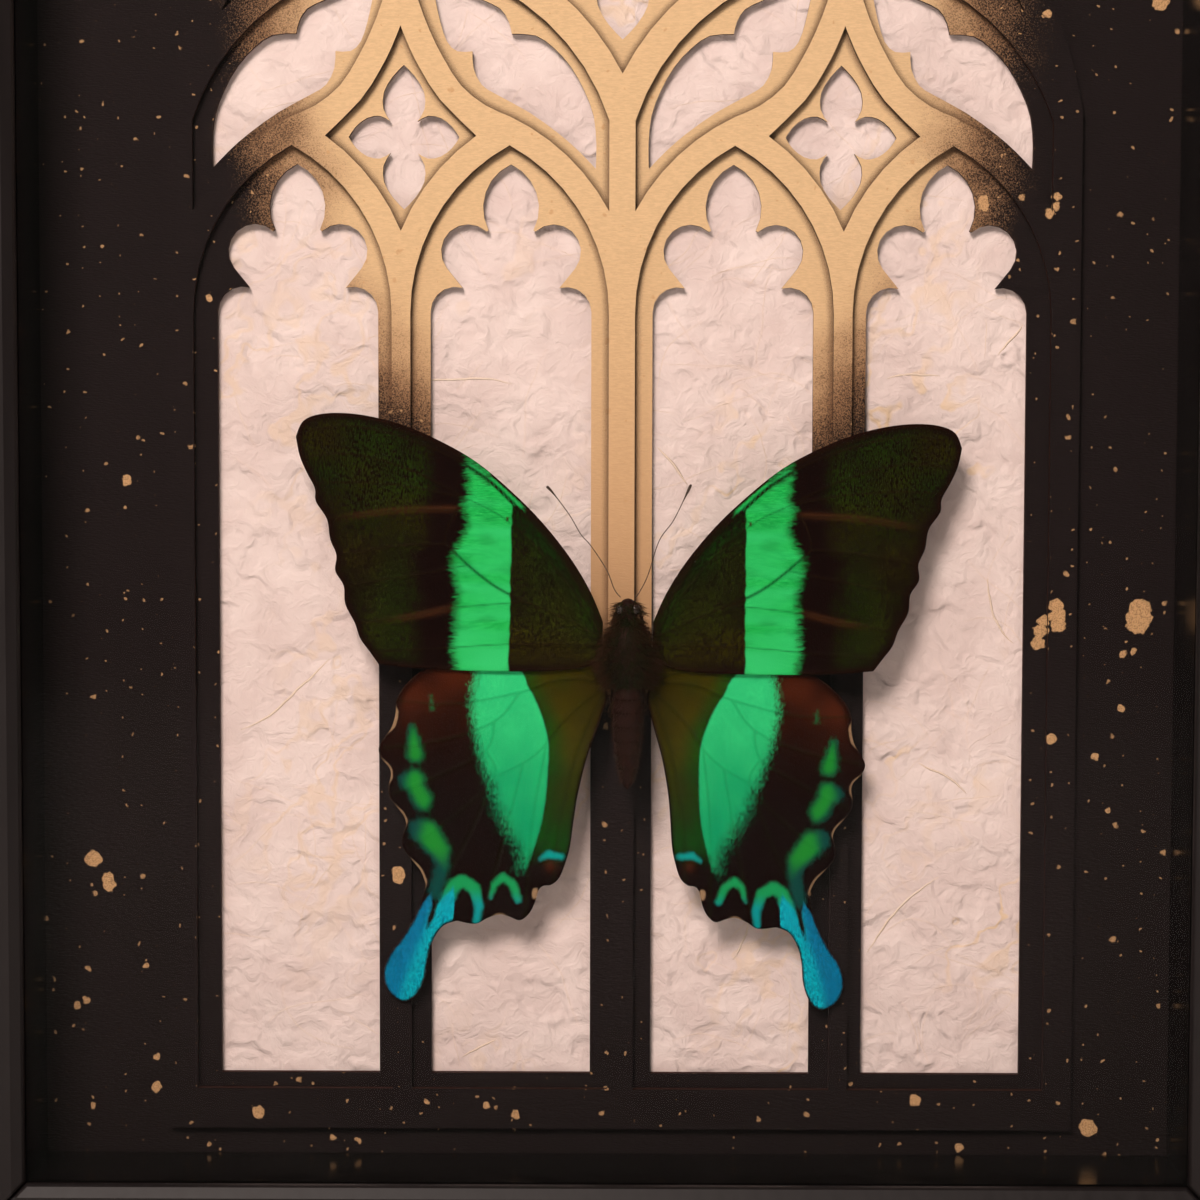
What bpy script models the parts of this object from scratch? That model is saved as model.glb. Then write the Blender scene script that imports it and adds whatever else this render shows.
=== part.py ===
"""A framed butterfly specimen in a deep shadow box, with a Gothic tracery window cut from card.

Every dimension is in millimetres and is scaled to metres where a mesh is made. X runs to the
right, Y runs back into the box and Z runs up. The origin is under the middle of the box, on the
surface that it stands on, and the glass faces -Y.
"""
import math

import bmesh
import bpy
from mathutils import Matrix

MM = 0.001
GAP = 0.3                   # clearance between pieces that touch

# the glazed stack, a standard 8.5 by 11 inch size
INSERT_W = 215.9
INSERT_H = 279.4
PANEL_W = INSERT_W - 2 * GAP
PANEL_H = INSERT_H - 2 * GAP
SPACER_T = 2.6              # thickness of the strips that line the walls

# the moulding
RAIL_FACE = 16.0
RAIL_DEPTH = 42.0
LIP_T = 3.0
LIP_OVER = 0.4              # how far the lip covers the strips' front edge
RAIL_BEVEL = 0.7
OUTER_W = PANEL_W - 2 * SPACER_T - 2 * LIP_OVER + 2 * RAIL_FACE
OUTER_H = PANEL_H - 2 * SPACER_T - 2 * LIP_OVER + 2 * RAIL_FACE
RABBET_WALL = (OUTER_W - INSERT_W) / 2 - GAP

# depths along Y, front to back
FRONT_Y = -RAIL_DEPTH / 2
BACK_Y = RAIL_DEPTH / 2
GLASS_T = 2.0
MAT_T = 1.4
PAPER_T = 0.4
MOUNT_BOARD_T = 3.0
BACKING_T = 2.5
WELL_DEPTH = 28.0           # front of the moulding to the front of the mat
GLASS_Y = FRONT_Y + LIP_T + GAP
SPACER_Y = GLASS_Y + GLASS_T + GAP
MAT_Y = FRONT_Y + WELL_DEPTH
PLATE_Y = MAT_Y - GAP - MAT_T
PAPER_Y = MAT_Y + MAT_T + GAP
MOUNT_BOARD_Y = PAPER_Y + PAPER_T + GAP
BACKING_Y = MOUNT_BOARD_Y + MOUNT_BOARD_T + GAP
BACKING_BACK_Y = BACKING_Y + BACKING_T

# where the window stands in the box
WINDOW_X = 2.45
SILL_ABOVE_LINER = 15.2
SILL_Z = (OUTER_H - PANEL_H) / 2 + SPACER_T + SILL_ABOVE_LINER

# the tracery: heights are above the sill, widths are from the window's centre line
SUB_CENTRE = 40.2           # half the distance between the two sub-arches, back layer
LANCET_HALF = 14.85
LANCET_OFFSET = 19.7        # lancet's centre line from the sub-arch's
SHOULDER_Z = 142.3
PLATE_HALF = 84.4
PLATE_FOOT = -10.2
JAMB_HALF = 79.05           # inner face of the front layer's outer jambs
MULLION_HALF = 2.4
SUB_HALF = (JAMB_HALF - MULLION_HALF) / 2
PLATE_SUB_CENTRE = (JAMB_HALF + MULLION_HALF) / 2
THIN_MULLION = 3.45
PLATE_LANCET_HALF = (2 * SUB_HALF - THIN_MULLION) / 4
PLATE_LANCET_OFFSET = PLATE_LANCET_HALF + THIN_MULLION / 2
RECESS_SILL = -2.7
LANCET_SPRING = 142.0
LANCET_R = 35.0
LANCET_BAR = 4.7
DIAMOND_HALF = 13.9
GREAT_DIAMOND_HALF = 19.7
GREAT_DAGGER_TIP = 73.4
SUB_SPRING = 164.3
SUB_R = 41.9
SUB_ARC_X = -1.5            # the arc's centre, across the sub-arch's own centre line
SUB_BAR = 5.5
MAIN_SPRING = 164.6
MAIN_R = 87.6
MAIN_ARC_X = -2.0
MAIN_BAR = MAIN_R - 82.25

# the butterfly: the body's line stands a little to the right of the window's
BODY_X = WINDOW_X + 1.25
WING_T = 0.4
FORE_HINGE_Z = SILL_Z + 83.0
HIND_HINGE_Z = SILL_Z + 74.0
HINGE_DEPTH = 12.0          # the wings' roots, before the mat
FORE_Y = MAT_Y - HINGE_DEPTH
HIND_Y = FORE_Y + 1.1
WING_SWEEP = math.radians(5.2)
HIND_DROOP = math.radians(4.0)
WING_SETS = {               # side: (sign, fore turn, fore size, hind turn, hind size)
    "left": (-1, math.radians(0.7), 1.006, math.radians(2.0), 1.0125),
    "right": (1, math.radians(-0.7), 0.994, math.radians(-2.0), 0.9875),
}
BODY_Y = MAT_Y - HINGE_DEPTH - 0.4
PIN_R = 0.25
PIN_HOLE_R = PIN_R + GAP
PIN_Z = SILL_Z + 79.5
PIN_FRONT_Y = BODY_Y + 1.6


def reset():
    """Empty the file and make one collection for the parts and one for the cutters."""
    for thing in list(bpy.data.objects):
        bpy.data.objects.remove(thing, do_unlink=True)
    made = []
    for name in ("framed_butterfly", "cutters"):
        group = bpy.data.collections.new(name)
        bpy.context.scene.collection.children.link(group)
        made.append(group)
    return made


PARTS, CUTTERS = reset()


def material(name, colour, roughness, metallic=0.0, alpha=1.0):
    """A plain Principled material."""
    made = bpy.data.materials.new(name)
    made.use_nodes = True
    shader = made.node_tree.nodes["Principled BSDF"]
    shader.inputs["Base Color"].default_value = (*colour, 1.0)
    shader.inputs["Roughness"].default_value = roughness
    shader.inputs["Metallic"].default_value = metallic
    shader.inputs["Alpha"].default_value = alpha
    made.diffuse_color = (*colour, alpha)
    return made


def link(obj, look=None, cutter=False):
    """Put an object in its collection, with its material or as a hidden guide."""
    (CUTTERS if cutter else PARTS).objects.link(obj)
    if cutter:
        obj.hide_render = True
        obj.display_type = "WIRE"
    if look:
        obj.data.materials.append(look)
    return obj


def box(name, low, high, look=None, cutter=False):
    """A block between two corners, in millimetres."""
    mesh = bpy.data.meshes.new(name)
    shape = bmesh.new()
    bmesh.ops.create_cube(shape, size=1.0)
    size = [b - a for a, b in zip(low, high)]
    middle = [(a + b) / 2 for a, b in zip(low, high)]
    bmesh.ops.scale(shape, vec=[v * MM for v in size], verts=shape.verts)
    bmesh.ops.translate(shape, vec=[v * MM for v in middle], verts=shape.verts)
    shape.to_mesh(mesh)
    shape.free()
    return link(bpy.data.objects.new(name, mesh), look, cutter)


def rod(name, start_y, end_y, radius, x, z, look=None, cutter=False, segments=16):
    """A round bar along Y, in millimetres."""
    mesh = bpy.data.meshes.new(name)
    shape = bmesh.new()
    bmesh.ops.create_cone(shape, cap_ends=True, segments=segments, radius1=radius * MM,
                          radius2=radius * MM, depth=(end_y - start_y) * MM)
    bmesh.ops.rotate(shape, cent=(0, 0, 0), matrix=Matrix.Rotation(math.pi / 2, 3, "X"), verts=shape.verts)
    shape.to_mesh(mesh)
    shape.free()
    made = bpy.data.objects.new(name, mesh)
    made.location = (x * MM, (start_y + end_y) / 2 * MM, z * MM)
    return link(made, look, cutter)


def to_mesh(source, look=None):
    """Turn a curve into a welded mesh object that keeps its name and place."""
    bpy.context.view_layer.update()
    evaluated = source.evaluated_get(bpy.context.evaluated_depsgraph_get())
    mesh = bpy.data.meshes.new_from_object(evaluated)
    shape = bmesh.new()
    shape.from_mesh(mesh)
    bmesh.ops.remove_doubles(shape, verts=shape.verts, dist=0.00001)
    shape.to_mesh(mesh)
    shape.free()
    name = source.name
    place = source.matrix_world.copy()
    group = source.users_collection[0]
    bpy.data.objects.remove(source, do_unlink=True)
    made = bpy.data.objects.new(name, mesh)
    made.matrix_world = place
    group.objects.link(made)
    if look:
        mesh.materials.clear()
        mesh.materials.append(look)
    return made


def combine(target, tool, operation="DIFFERENCE"):
    """Cut or join with an exact Boolean that stays on the object."""
    change = target.modifiers.new(operation.lower() + "_" + tool.name, "BOOLEAN")
    change.operation = operation
    change.solver = "EXACT"
    change.object = tool
    return change


def sheet(name, loops, front_y, thickness, look, x=0.0, z=0.0, sweep=0.0, droop=0.0):
    """A flat sheet in the XZ plane from closed loops: the first is the edge, the others are holes."""
    curve = bpy.data.curves.new(name, "CURVE")
    curve.dimensions = "2D"
    curve.fill_mode = "BOTH"
    curve.extrude = thickness / 2 * MM
    for outline in loops:
        spline = curve.splines.new("POLY")
        spline.points.add(len(outline) - 1)
        for point, (u, v) in zip(spline.points, outline):
            point.co = (u * MM, v * MM, 0, 1)
        spline.use_cyclic_u = True
    made = bpy.data.objects.new(name, curve)
    made.rotation_euler = (math.pi / 2 + droop, 0, sweep)
    made.location = (x * MM, (front_y + thickness / 2) * MM, z * MM)
    return link(made, look)


def wire(name, points, radii, look=None, cutter=False, resolution=2):
    """A round wire through points in millimetres, whose radius can change along it."""
    curve = bpy.data.curves.new(name, "CURVE")
    curve.dimensions = "3D"
    curve.bevel_depth = MM
    curve.bevel_resolution = resolution
    curve.use_fill_caps = True
    spline = curve.splines.new("POLY")
    spline.points.add(len(points) - 1)
    for point, place, radius in zip(spline.points, points, radii):
        point.co = (*[v * MM for v in place], 1)
        point.radius = radius
    return link(bpy.data.objects.new(name, curve), look, cutter)


def smooth(points, steps=3):
    """Points on a Catmull-Rom curve through the given ones, ends included."""
    made = [points[0]]
    for index in range(len(points) - 1):
        before = points[max(index - 1, 0)]
        start, end = points[index], points[index + 1]
        after = points[min(index + 2, len(points) - 1)]
        for step in range(1, steps + 1):
            t = step / steps
            made.append(tuple(
                0.5 * (2 * b + (c - a) * t + (2 * a - 5 * b + 4 * c - d) * t * t
                       + (3 * b - a - 3 * c + d) * t ** 3)
                for a, b, c, d in zip(before, start, end, after)))
    return made


def arc(x, z, radius, start, end, count):
    """Points on a circle from one angle to another, in degrees."""
    angles = [math.radians(start + (end - start) * i / count) for i in range(count + 1)]
    return [(x + radius * math.cos(a), z + radius * math.sin(a)) for a in angles]


def upper(x, z, radius, start_x, end_x, count):
    """Points on the upper half of a circle, from one abscissa to another."""
    start = math.degrees(math.acos((start_x - x) / radius))
    end = math.degrees(math.acos((end_x - x) / radius))
    return arc(x, z, radius, start, end, count)


def height(x, z, radius, at):
    """Height of the upper half of a circle over an abscissa."""
    return z + math.sqrt(radius ** 2 - (at - x) ** 2)


def loop(*stretches):
    """Join stretches into one closed outline, dropping points that repeat."""
    made = []
    for point in (p for stretch in stretches for p in stretch):
        if not made or math.dist(point, made[-1]) > 0.02:
            made.append(point)
    if math.dist(made[0], made[-1]) < 0.02:
        made.pop()
    return made


def mirrored(half):
    """Close an outline whose right half runs from the foot to the top."""
    return loop(half, [(-u, v) for u, v in reversed(half)])


def placed(outline, centre=0.0, flip=1):
    """Move an outline across the window, mirrored if flip is -1."""
    return [(flip * u + centre, v) for u, v in outline]


def lancet_opening():
    """A tall light with a trefoil head."""
    return mirrored([(LANCET_HALF, 0.0)]
                    + arc(LANCET_HALF - 4.6, SHOULDER_Z, 4.6, 0, 107, 5)
                    + arc(7.9, 153.4, 5.0, -38, 133, 8)
                    + arc(-3.6, 161.4, 8.75, -28, 65.7, 6))


def dagger_opening():
    """The cusped dagger between a lancet's head and the sub-arch, right-hand one."""
    outer = smooth([(35.3, 168.6), (35.4, 173.0), (34.9, 178.2), (33.2, 182.8), (30.7, 187.2),
                    (27.6, 190.6), (24.2, 192.9), (19.8, 193.2)], 2)
    foil = smooth([(19.8, 193.2), (19.3, 195.3), (17.8, 197.7), (14.6, 199.3), (10.0, 201.2), (4.9, 203.4)], 2)
    inner = smooth([(4.9, 203.4), (5.8, 199.3), (6.7, 195.3), (7.9, 191.8), (9.8, 190.0), (12.6, 190.0)], 2)
    lower = smooth([(12.6, 190.0), (12.8, 186.9), (14.3, 183.9), (16.9, 182.2), (23.0, 178.9),
                    (28.5, 175.0), (32.2, 171.8), (35.3, 168.6)], 2)
    return loop(outer, foil, inner, lower)


def quatrefoil(middle, size):
    """Four pointed leaves around a middle."""
    upright = smooth([(0, 13.2), (2.1, 11.0), (3.7, 8.2), (3.8, 5.2), (2.5, 2.9)], 2)
    level = smooth([(2.5, 2.9), (4.4, 3.9), (6.8, 3.5), (8.9, 1.9), (10.2, 0)], 2)
    quarter = [(u * size, v * size) for u, v in loop(upright, level, [(10.2, 0)])]
    right = quarter + [(u, -v) for u, v in reversed(quarter)]
    whole = loop(right, [(-u, v) for u, v in reversed(right)])
    return [(u, v + middle) for u, v in whole]


def great_dagger_opening():
    """The cusped dagger between a sub-arch and the main arch, right-hand one."""
    outer = upper(MAIN_ARC_X, MAIN_SPRING, 78.9, 63.3, 40.5, 6)
    cusp = smooth([(40.5, 230.9), (38.2, 231.0), (35.6, 229.9)], 2)
    foil = smooth([(35.6, 229.9), (33.6, 234.6), (28.6, 238.2), (20.0, 240.9), (12.0, 242.2), (5.2, 243.0)], 2)
    inner = smooth([(5.2, 243.0), (6.9, 236.0), (10.2, 229.6), (14.6, 226.4), (20.3, 225.8)], 2)
    lower = smooth([(20.3, 225.8), (20.4, 221.2), (23.4, 217.0), (29.2, 214.6), (40.7, 214.9)], 2)
    return loop(outer, cusp, foil, inner, lower, upper(39.2, SUB_SPRING, 50.4, 40.7, 63.3, 6))


def panel_edge():
    """Edge of the full-size layers, in the window's own coordinates."""
    low = (OUTER_H - PANEL_H) / 2 - SILL_Z
    left, right = -PANEL_W / 2 - WINDOW_X, PANEL_W / 2 - WINDOW_X
    return [(left, low), (right, low), (right, low + PANEL_H), (left, low + PANEL_H)]


def pin_hole():
    """Clearance round the pin, in the window's own coordinates."""
    return arc(BODY_X - WINDOW_X, PIN_Z - SILL_Z, PIN_HOLE_R, 0, 330, 11)


def plate_lancet():
    """The simple pointed opening of the front layer before one lancet."""
    arc_x = PLATE_LANCET_HALF - LANCET_R
    return mirrored([(PLATE_LANCET_HALF, RECESS_SILL)]
                    + upper(arc_x, LANCET_SPRING, LANCET_R, PLATE_LANCET_HALF, 0.0, 9))


def plate_diamond():
    """The opening of the front layer between two lancet heads."""
    radius = LANCET_R + LANCET_BAR
    arc_x = PLATE_LANCET_OFFSET - PLATE_LANCET_HALF + LANCET_R
    tip = (DIAMOND_HALF, height(arc_x, LANCET_SPRING, radius, DIAMOND_HALF))
    return mirrored(upper(arc_x, LANCET_SPRING, radius, 0.0, tip[0], 5)
                    + smooth([tip, (7.3, 181.0), (3.7, 186.5), (1.6, 190.6), (0, 194.5)], 2))


def plate_dagger():
    """The opening of the front layer beside the diamond, right-hand one."""
    radius = LANCET_R + LANCET_BAR
    arc_x = PLATE_LANCET_OFFSET + PLATE_LANCET_HALF - LANCET_R
    apex = (PLATE_LANCET_OFFSET, height(arc_x, LANCET_SPRING, radius, PLATE_LANCET_OFFSET))
    return loop([(SUB_HALF, height(arc_x, LANCET_SPRING, radius, SUB_HALF))],
                upper(SUB_ARC_X, SUB_SPRING, SUB_R, SUB_HALF, MULLION_HALF, 9),
                smooth([(MULLION_HALF, 203.5), (3.3, 199.0), (5.4, 193.5), (7.8, 188.7), (11.1, 183.6),
                        (15.6, 180.0), apex], 2),
                upper(arc_x, LANCET_SPRING, radius, PLATE_LANCET_OFFSET, SUB_HALF, 6))


def plate_great_diamond():
    """The front layer's opening between the two sub-arches."""
    arc_x = PLATE_SUB_CENTRE - SUB_ARC_X
    tip = (GREAT_DIAMOND_HALF, height(arc_x, SUB_SPRING, SUB_R + SUB_BAR, GREAT_DIAMOND_HALF))
    return mirrored(upper(arc_x, SUB_SPRING, SUB_R + SUB_BAR, 0.0, tip[0], 6)
                    + smooth([tip, (10.5, 214.5), (5.0, 222.0), (0, 232.0)], 3))


def plate_great_dagger():
    """The front layer's opening between a sub-arch and the main arch, right-hand one."""
    radius = SUB_R + SUB_BAR
    arc_x = PLATE_SUB_CENTRE + SUB_ARC_X
    return loop(upper(MAIN_ARC_X, MAIN_SPRING, MAIN_R - MAIN_BAR, GREAT_DAGGER_TIP, MULLION_HALF, 10),
                smooth([(MULLION_HALF, 239.5), (4.8, 233.5), (9.2, 224.6), (14.2, 217.8), (26.0, 209.0)], 2),
                upper(PLATE_SUB_CENTRE - SUB_ARC_X, SUB_SPRING, radius, 30.0, PLATE_SUB_CENTRE, 2),
                upper(arc_x, SUB_SPRING, radius, PLATE_SUB_CENTRE, GREAT_DAGGER_TIP, 6))


def window_layers(card):
    """The foiled mat behind and the simpler plate before it."""
    mat = [panel_edge()]
    edge = upper(MAIN_ARC_X, MAIN_SPRING, MAIN_R, PLATE_HALF, 0.0, 16)
    plate = [mirrored([(PLATE_HALF, PLATE_FOOT)] + edge)]
    for side in (-1, 1):
        for offset in (-1, 1):
            mat.append(placed(lancet_opening(), side * SUB_CENTRE + offset * LANCET_OFFSET))
            mat.append(placed(dagger_opening(), side * SUB_CENTRE, offset))
            plate.append(placed(plate_lancet(), side * PLATE_SUB_CENTRE + offset * PLATE_LANCET_OFFSET))
            plate.append(placed(plate_dagger(), side * PLATE_SUB_CENTRE, offset))
        mat.append(placed(quatrefoil(174.3, 1.0), side * SUB_CENTRE))
        mat.append(placed(great_dagger_opening(), 0.0, side))
        plate.append(placed(plate_diamond(), side * PLATE_SUB_CENTRE))
        plate.append(placed(plate_great_dagger(), 0.0, side))
    mat.append(quatrefoil(208.7, 1.25))
    plate.append(plate_great_diamond())
    for layer in (mat, plate):
        layer.append(pin_hole())
    sheet("tracery_mat", mat, MAT_Y, MAT_T, card, WINDOW_X, SILL_Z)
    sheet("window_plate", plate, PLATE_Y, MAT_T, card, WINDOW_X, SILL_Z)


def panel(name, front_y, thickness, look):
    """One of the full-size flat layers, pierced for the pin."""
    return sheet(name, [panel_edge(), pin_hole()], front_y, thickness, look, WINDOW_X, SILL_Z)


def flat_stack(paper, foam, board, glass):
    """Glass, paper, mount board and backing board."""
    low_z = (OUTER_H - PANEL_H) / 2
    high_z = (OUTER_H + PANEL_H) / 2
    box("glass_pane", (-PANEL_W / 2, GLASS_Y, low_z), (PANEL_W / 2, GLASS_Y + GLASS_T, high_z), glass)
    box("backing_board", (-PANEL_W / 2, BACKING_Y, low_z), (PANEL_W / 2, BACKING_BACK_Y, high_z), board)
    panel("mulberry_paper", PAPER_Y, PAPER_T, paper)
    mount = to_mesh(panel("mount_board", MOUNT_BOARD_Y, MOUNT_BOARD_T, foam), foam)
    sink = rod("pin_head_sink", BACKING_Y - 1.3, BACKING_Y + 1.0, 1.2, BODY_X, PIN_Z, cutter=True)
    combine(mount, sink)


def spacers(liner):
    """Four glossy strips that hold the glass off the mat and line the walls."""
    low_z = (OUTER_H - PANEL_H) / 2
    high_z = (OUTER_H + PANEL_H) / 2
    front, back = SPACER_Y, MAT_Y - GAP
    for name, sign in (("left", -1), ("right", 1)):
        outer, inner = sign * PANEL_W / 2, sign * (PANEL_W / 2 - SPACER_T)
        box("spacer_" + name, (min(outer, inner), front, low_z), (max(outer, inner), back, high_z), liner)
    reach = PANEL_W / 2 - SPACER_T - GAP
    box("spacer_bottom", (-reach, front, low_z), (reach, back, low_z + SPACER_T), liner)
    box("spacer_top", (-reach, front, high_z - SPACER_T), (reach, back, high_z), liner)


def rail_profile():
    """Section of the moulding: distance in from the outer edge, then depth."""
    return [(0, FRONT_Y + 1.2), (1.2, FRONT_Y), (RAIL_FACE - 2.2, FRONT_Y), (RAIL_FACE, FRONT_Y + 1.6),
            (RAIL_FACE, FRONT_Y + LIP_T), (RABBET_WALL, FRONT_Y + LIP_T), (RABBET_WALL, BACK_Y), (0, BACK_Y)]


def rail(name, length, turn, place, wood):
    """One mitred rail: a straight moulding cut to a trapezium and bevelled."""
    curve = bpy.data.curves.new(name, "CURVE")
    curve.dimensions = "2D"
    curve.fill_mode = "BOTH"
    curve.extrude = length / 2 * MM
    profile = rail_profile()
    spline = curve.splines.new("POLY")
    spline.points.add(len(profile) - 1)
    for point, (inward, depth) in zip(spline.points, profile):
        point.co = (depth * MM, inward * MM, 0, 1)
    spline.use_cyclic_u = True
    made = bpy.data.objects.new(name, curve)
    frame = Matrix.Rotation(turn, 4, "Y") @ Matrix(((0, 0, 1, 0), (1, 0, 0, 0), (0, 1, 0, 0), (0, 0, 0, 1)))
    made.matrix_world = Matrix.Translation([v * MM for v in place]) @ frame
    link(made, wood)
    made = to_mesh(made, wood)

    clear = GAP / 2 * math.sqrt(2)
    inner = length / 2 - RAIL_FACE - 1
    keep = [(-length / 2 + clear - 1, -1), (length / 2 - clear + 1, -1),
            (inner - clear, RAIL_FACE + 1), (-inner + clear, RAIL_FACE + 1)]
    mitre = sheet("mitre_" + name, [keep], FRONT_Y - 2, RAIL_DEPTH + 4, None)
    mitre.matrix_world = (Matrix.Translation([v * MM for v in place]) @ Matrix.Rotation(turn, 4, "Y")
                          @ Matrix.Rotation(math.pi / 2, 4, "X"))
    mitre = to_mesh(mitre)
    PARTS.objects.unlink(mitre)
    link(mitre, cutter=True)
    combine(made, mitre, "INTERSECT")
    soften = made.modifiers.new("soft_edges", "BEVEL")
    soften.width = RAIL_BEVEL * MM
    soften.segments = 2
    soften.limit_method = "ANGLE"
    soften.angle_limit = math.radians(50)
    return made


def rails(wood):
    """Four mitred rails round the glass."""
    middle = OUTER_H / 2
    return {
        "bottom": rail("frame_bottom", OUTER_W, 0.0, (0, 0, 0), wood),
        "right": rail("frame_right", OUTER_H, -math.pi / 2, (OUTER_W / 2, 0, middle), wood),
        "top": rail("frame_top", OUTER_W, math.pi, (0, 0, OUTER_H), wood),
        "left": rail("frame_left", OUTER_H, math.pi / 2, (-OUTER_W / 2, 0, middle), wood),
    }


POINT_LENGTH = 9.0
POINT_WIDTH = 6.0
POINT_T = 0.6
POINT_BITE = 3.5            # how far a framer's point is driven into the rail


def framers_points(frame_rails, steel):
    """Flat steel points driven into the rabbet walls, which hold the backing in."""
    wall_x = OUTER_W / 2 - RABBET_WALL
    wall_z = OUTER_H / 2 - RABBET_WALL
    front = BACKING_BACK_Y + GAP
    spots = [("left", 0.3), ("left", 0.7), ("right", 0.3), ("right", 0.7),
             ("bottom", 0.3), ("bottom", 0.7), ("top", 0.3), ("top", 0.7)]
    count = {}
    for name, share in spots:
        count[name] = count.get(name, 0) + 1
        upright = name in ("left", "right")
        sign = 1 if name in ("right", "top") else -1
        wall = wall_x if upright else wall_z
        if upright:
            x, z, turn = sign * wall, OUTER_H * share, (0 if sign > 0 else math.pi)
        else:
            x, z, turn = OUTER_W * (share - 0.5), OUTER_H / 2 + sign * wall, sign * math.pi / 2
        reach = POINT_LENGTH - POINT_BITE
        outline = [(-reach, -POINT_WIDTH / 4), (-reach, POINT_WIDTH / 4), (-1.0, POINT_WIDTH / 2),
                   (POINT_BITE, POINT_WIDTH / 6), (POINT_BITE, -POINT_WIDTH / 6), (-1.0, -POINT_WIDTH / 2)]
        turned = [(u * math.cos(turn) - v * math.sin(turn), u * math.sin(turn) + v * math.cos(turn))
                  for u, v in outline]
        sheet("framers_point_%s_%d" % (name, count[name]), [turned], front, POINT_T, steel, x, z)
        deep, wide = POINT_BITE + GAP, POINT_WIDTH / 2 + GAP
        if upright:
            low, high = (min(0, sign * deep) - 0.5, -wide), (max(0, sign * deep) + 0.5, wide)
        else:
            low, high = (-wide, min(0, sign * deep) - 0.5), (wide, max(0, sign * deep) + 0.5)
        slot = box("point_slot_%s_%d" % (name, count[name]),
                   (x + low[0], front - GAP, z + low[1]),
                   (x + high[0], front + POINT_T + GAP, z + high[1]), cutter=True)
        cut_before_bevel(frame_rails[name], slot)


def cut_before_bevel(target, tool):
    """Cut a rail ahead of the Bevel, so that the modifier order stays mitre, cuts, bevel."""
    change = combine(target, tool)
    last = len(target.modifiers) - 1
    target.modifiers.move(last, last - 1)
    return change


HANGER_W = 44.0
HANGER_H = 7.0
HANGER_T = 0.8
POCKET_DEPTH = 2.4
TOOTH = 1.6
NAIL_R = 0.7
NAIL_REACH = 5.0


def hanger(frame_rails, steel):
    """A sawtooth hanger let into a pocket in the back of the top rail, held by two nails."""
    middle_z = OUTER_H - RABBET_WALL / 2
    floor_y = BACK_Y - POCKET_DEPTH
    pocket = box("hanger_pocket", (-HANGER_W / 2 - 3, floor_y, middle_z - HANGER_H / 2 - 1),
                 (HANGER_W / 2 + 3, BACK_Y + 2, middle_z + HANGER_H / 2 + 1), cutter=True)
    cut_before_bevel(frame_rails["top"], pocket)
    teeth = 14
    half = HANGER_W / 2 - 6
    lower = []
    for index in range(teeth):
        left = -half + 2 * half * index / teeth
        lower += [(left, -HANGER_H / 2 + TOOTH), (left + half / teeth, -HANGER_H / 2)]
    edge = ([(-HANGER_W / 2, HANGER_H / 2), (-HANGER_W / 2, -HANGER_H / 2), (-half - 1, -HANGER_H / 2)]
            + lower + [(half, -HANGER_H / 2 + TOOTH), (half + 1, -HANGER_H / 2),
                       (HANGER_W / 2, -HANGER_H / 2), (HANGER_W / 2, HANGER_H / 2)])
    nail_x = HANGER_W / 2 - 3
    holes = [arc(side * nail_x, 0, NAIL_R + GAP, 0, 330, 11) for side in (-1, 1)]
    front = floor_y + GAP
    sheet("sawtooth_hanger", [edge] + holes, front, HANGER_T, steel, 0, middle_z)
    for name, side in (("left", -1), ("right", 1)):
        bore = rod("nail_bore_" + name, floor_y - NAIL_REACH - GAP, floor_y + 1, NAIL_R + GAP,
                   side * nail_x, middle_z, cutter=True, segments=12)
        cut_before_bevel(frame_rails["top"], bore)
        head_y = front + HANGER_T + GAP
        turned("hanger_nail_" + name, [(0, head_y + 0.6), (1.2, head_y + 0.6), (1.6, head_y),
                                       (NAIL_R, head_y), (NAIL_R, floor_y - NAIL_REACH + 1.5),
                                       (0, floor_y - NAIL_REACH)], side * nail_x, middle_z, steel, 12)


def turned(name, profile, x, z, look, segments=16):
    """A turned shape round an axis along Y, from (radius, depth) points, back end first."""
    mesh = bpy.data.meshes.new(name)
    shape = bmesh.new()
    points = [shape.verts.new((radius * MM, 0, depth * MM)) for radius, depth in profile]
    for first, second in zip(points, points[1:]):
        shape.edges.new((first, second))
    shape.to_mesh(mesh)
    shape.free()
    made = bpy.data.objects.new(name, mesh)
    made.rotation_euler = (-math.pi / 2, 0, 0)
    made.location = (x * MM, 0, z * MM)
    spin = made.modifiers.new("turn", "SCREW")
    spin.axis = "Z"
    spin.steps = segments
    spin.render_steps = segments
    spin.use_merge_vertices = True
    spin.merge_threshold = 0.00001
    return link(made, look)


def pin(steel):
    """The pin that comes forward through the boards into the thorax."""
    back = BACKING_Y - GAP
    turned("specimen_pin", [(0, back), (0.8, back), (0.8, back - 0.5), (PIN_R, back - 0.5),
                            (PIN_R, PIN_FRONT_Y + 1.0), (0, PIN_FRONT_Y)], BODY_X, PIN_Z, steel, 12)


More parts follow.
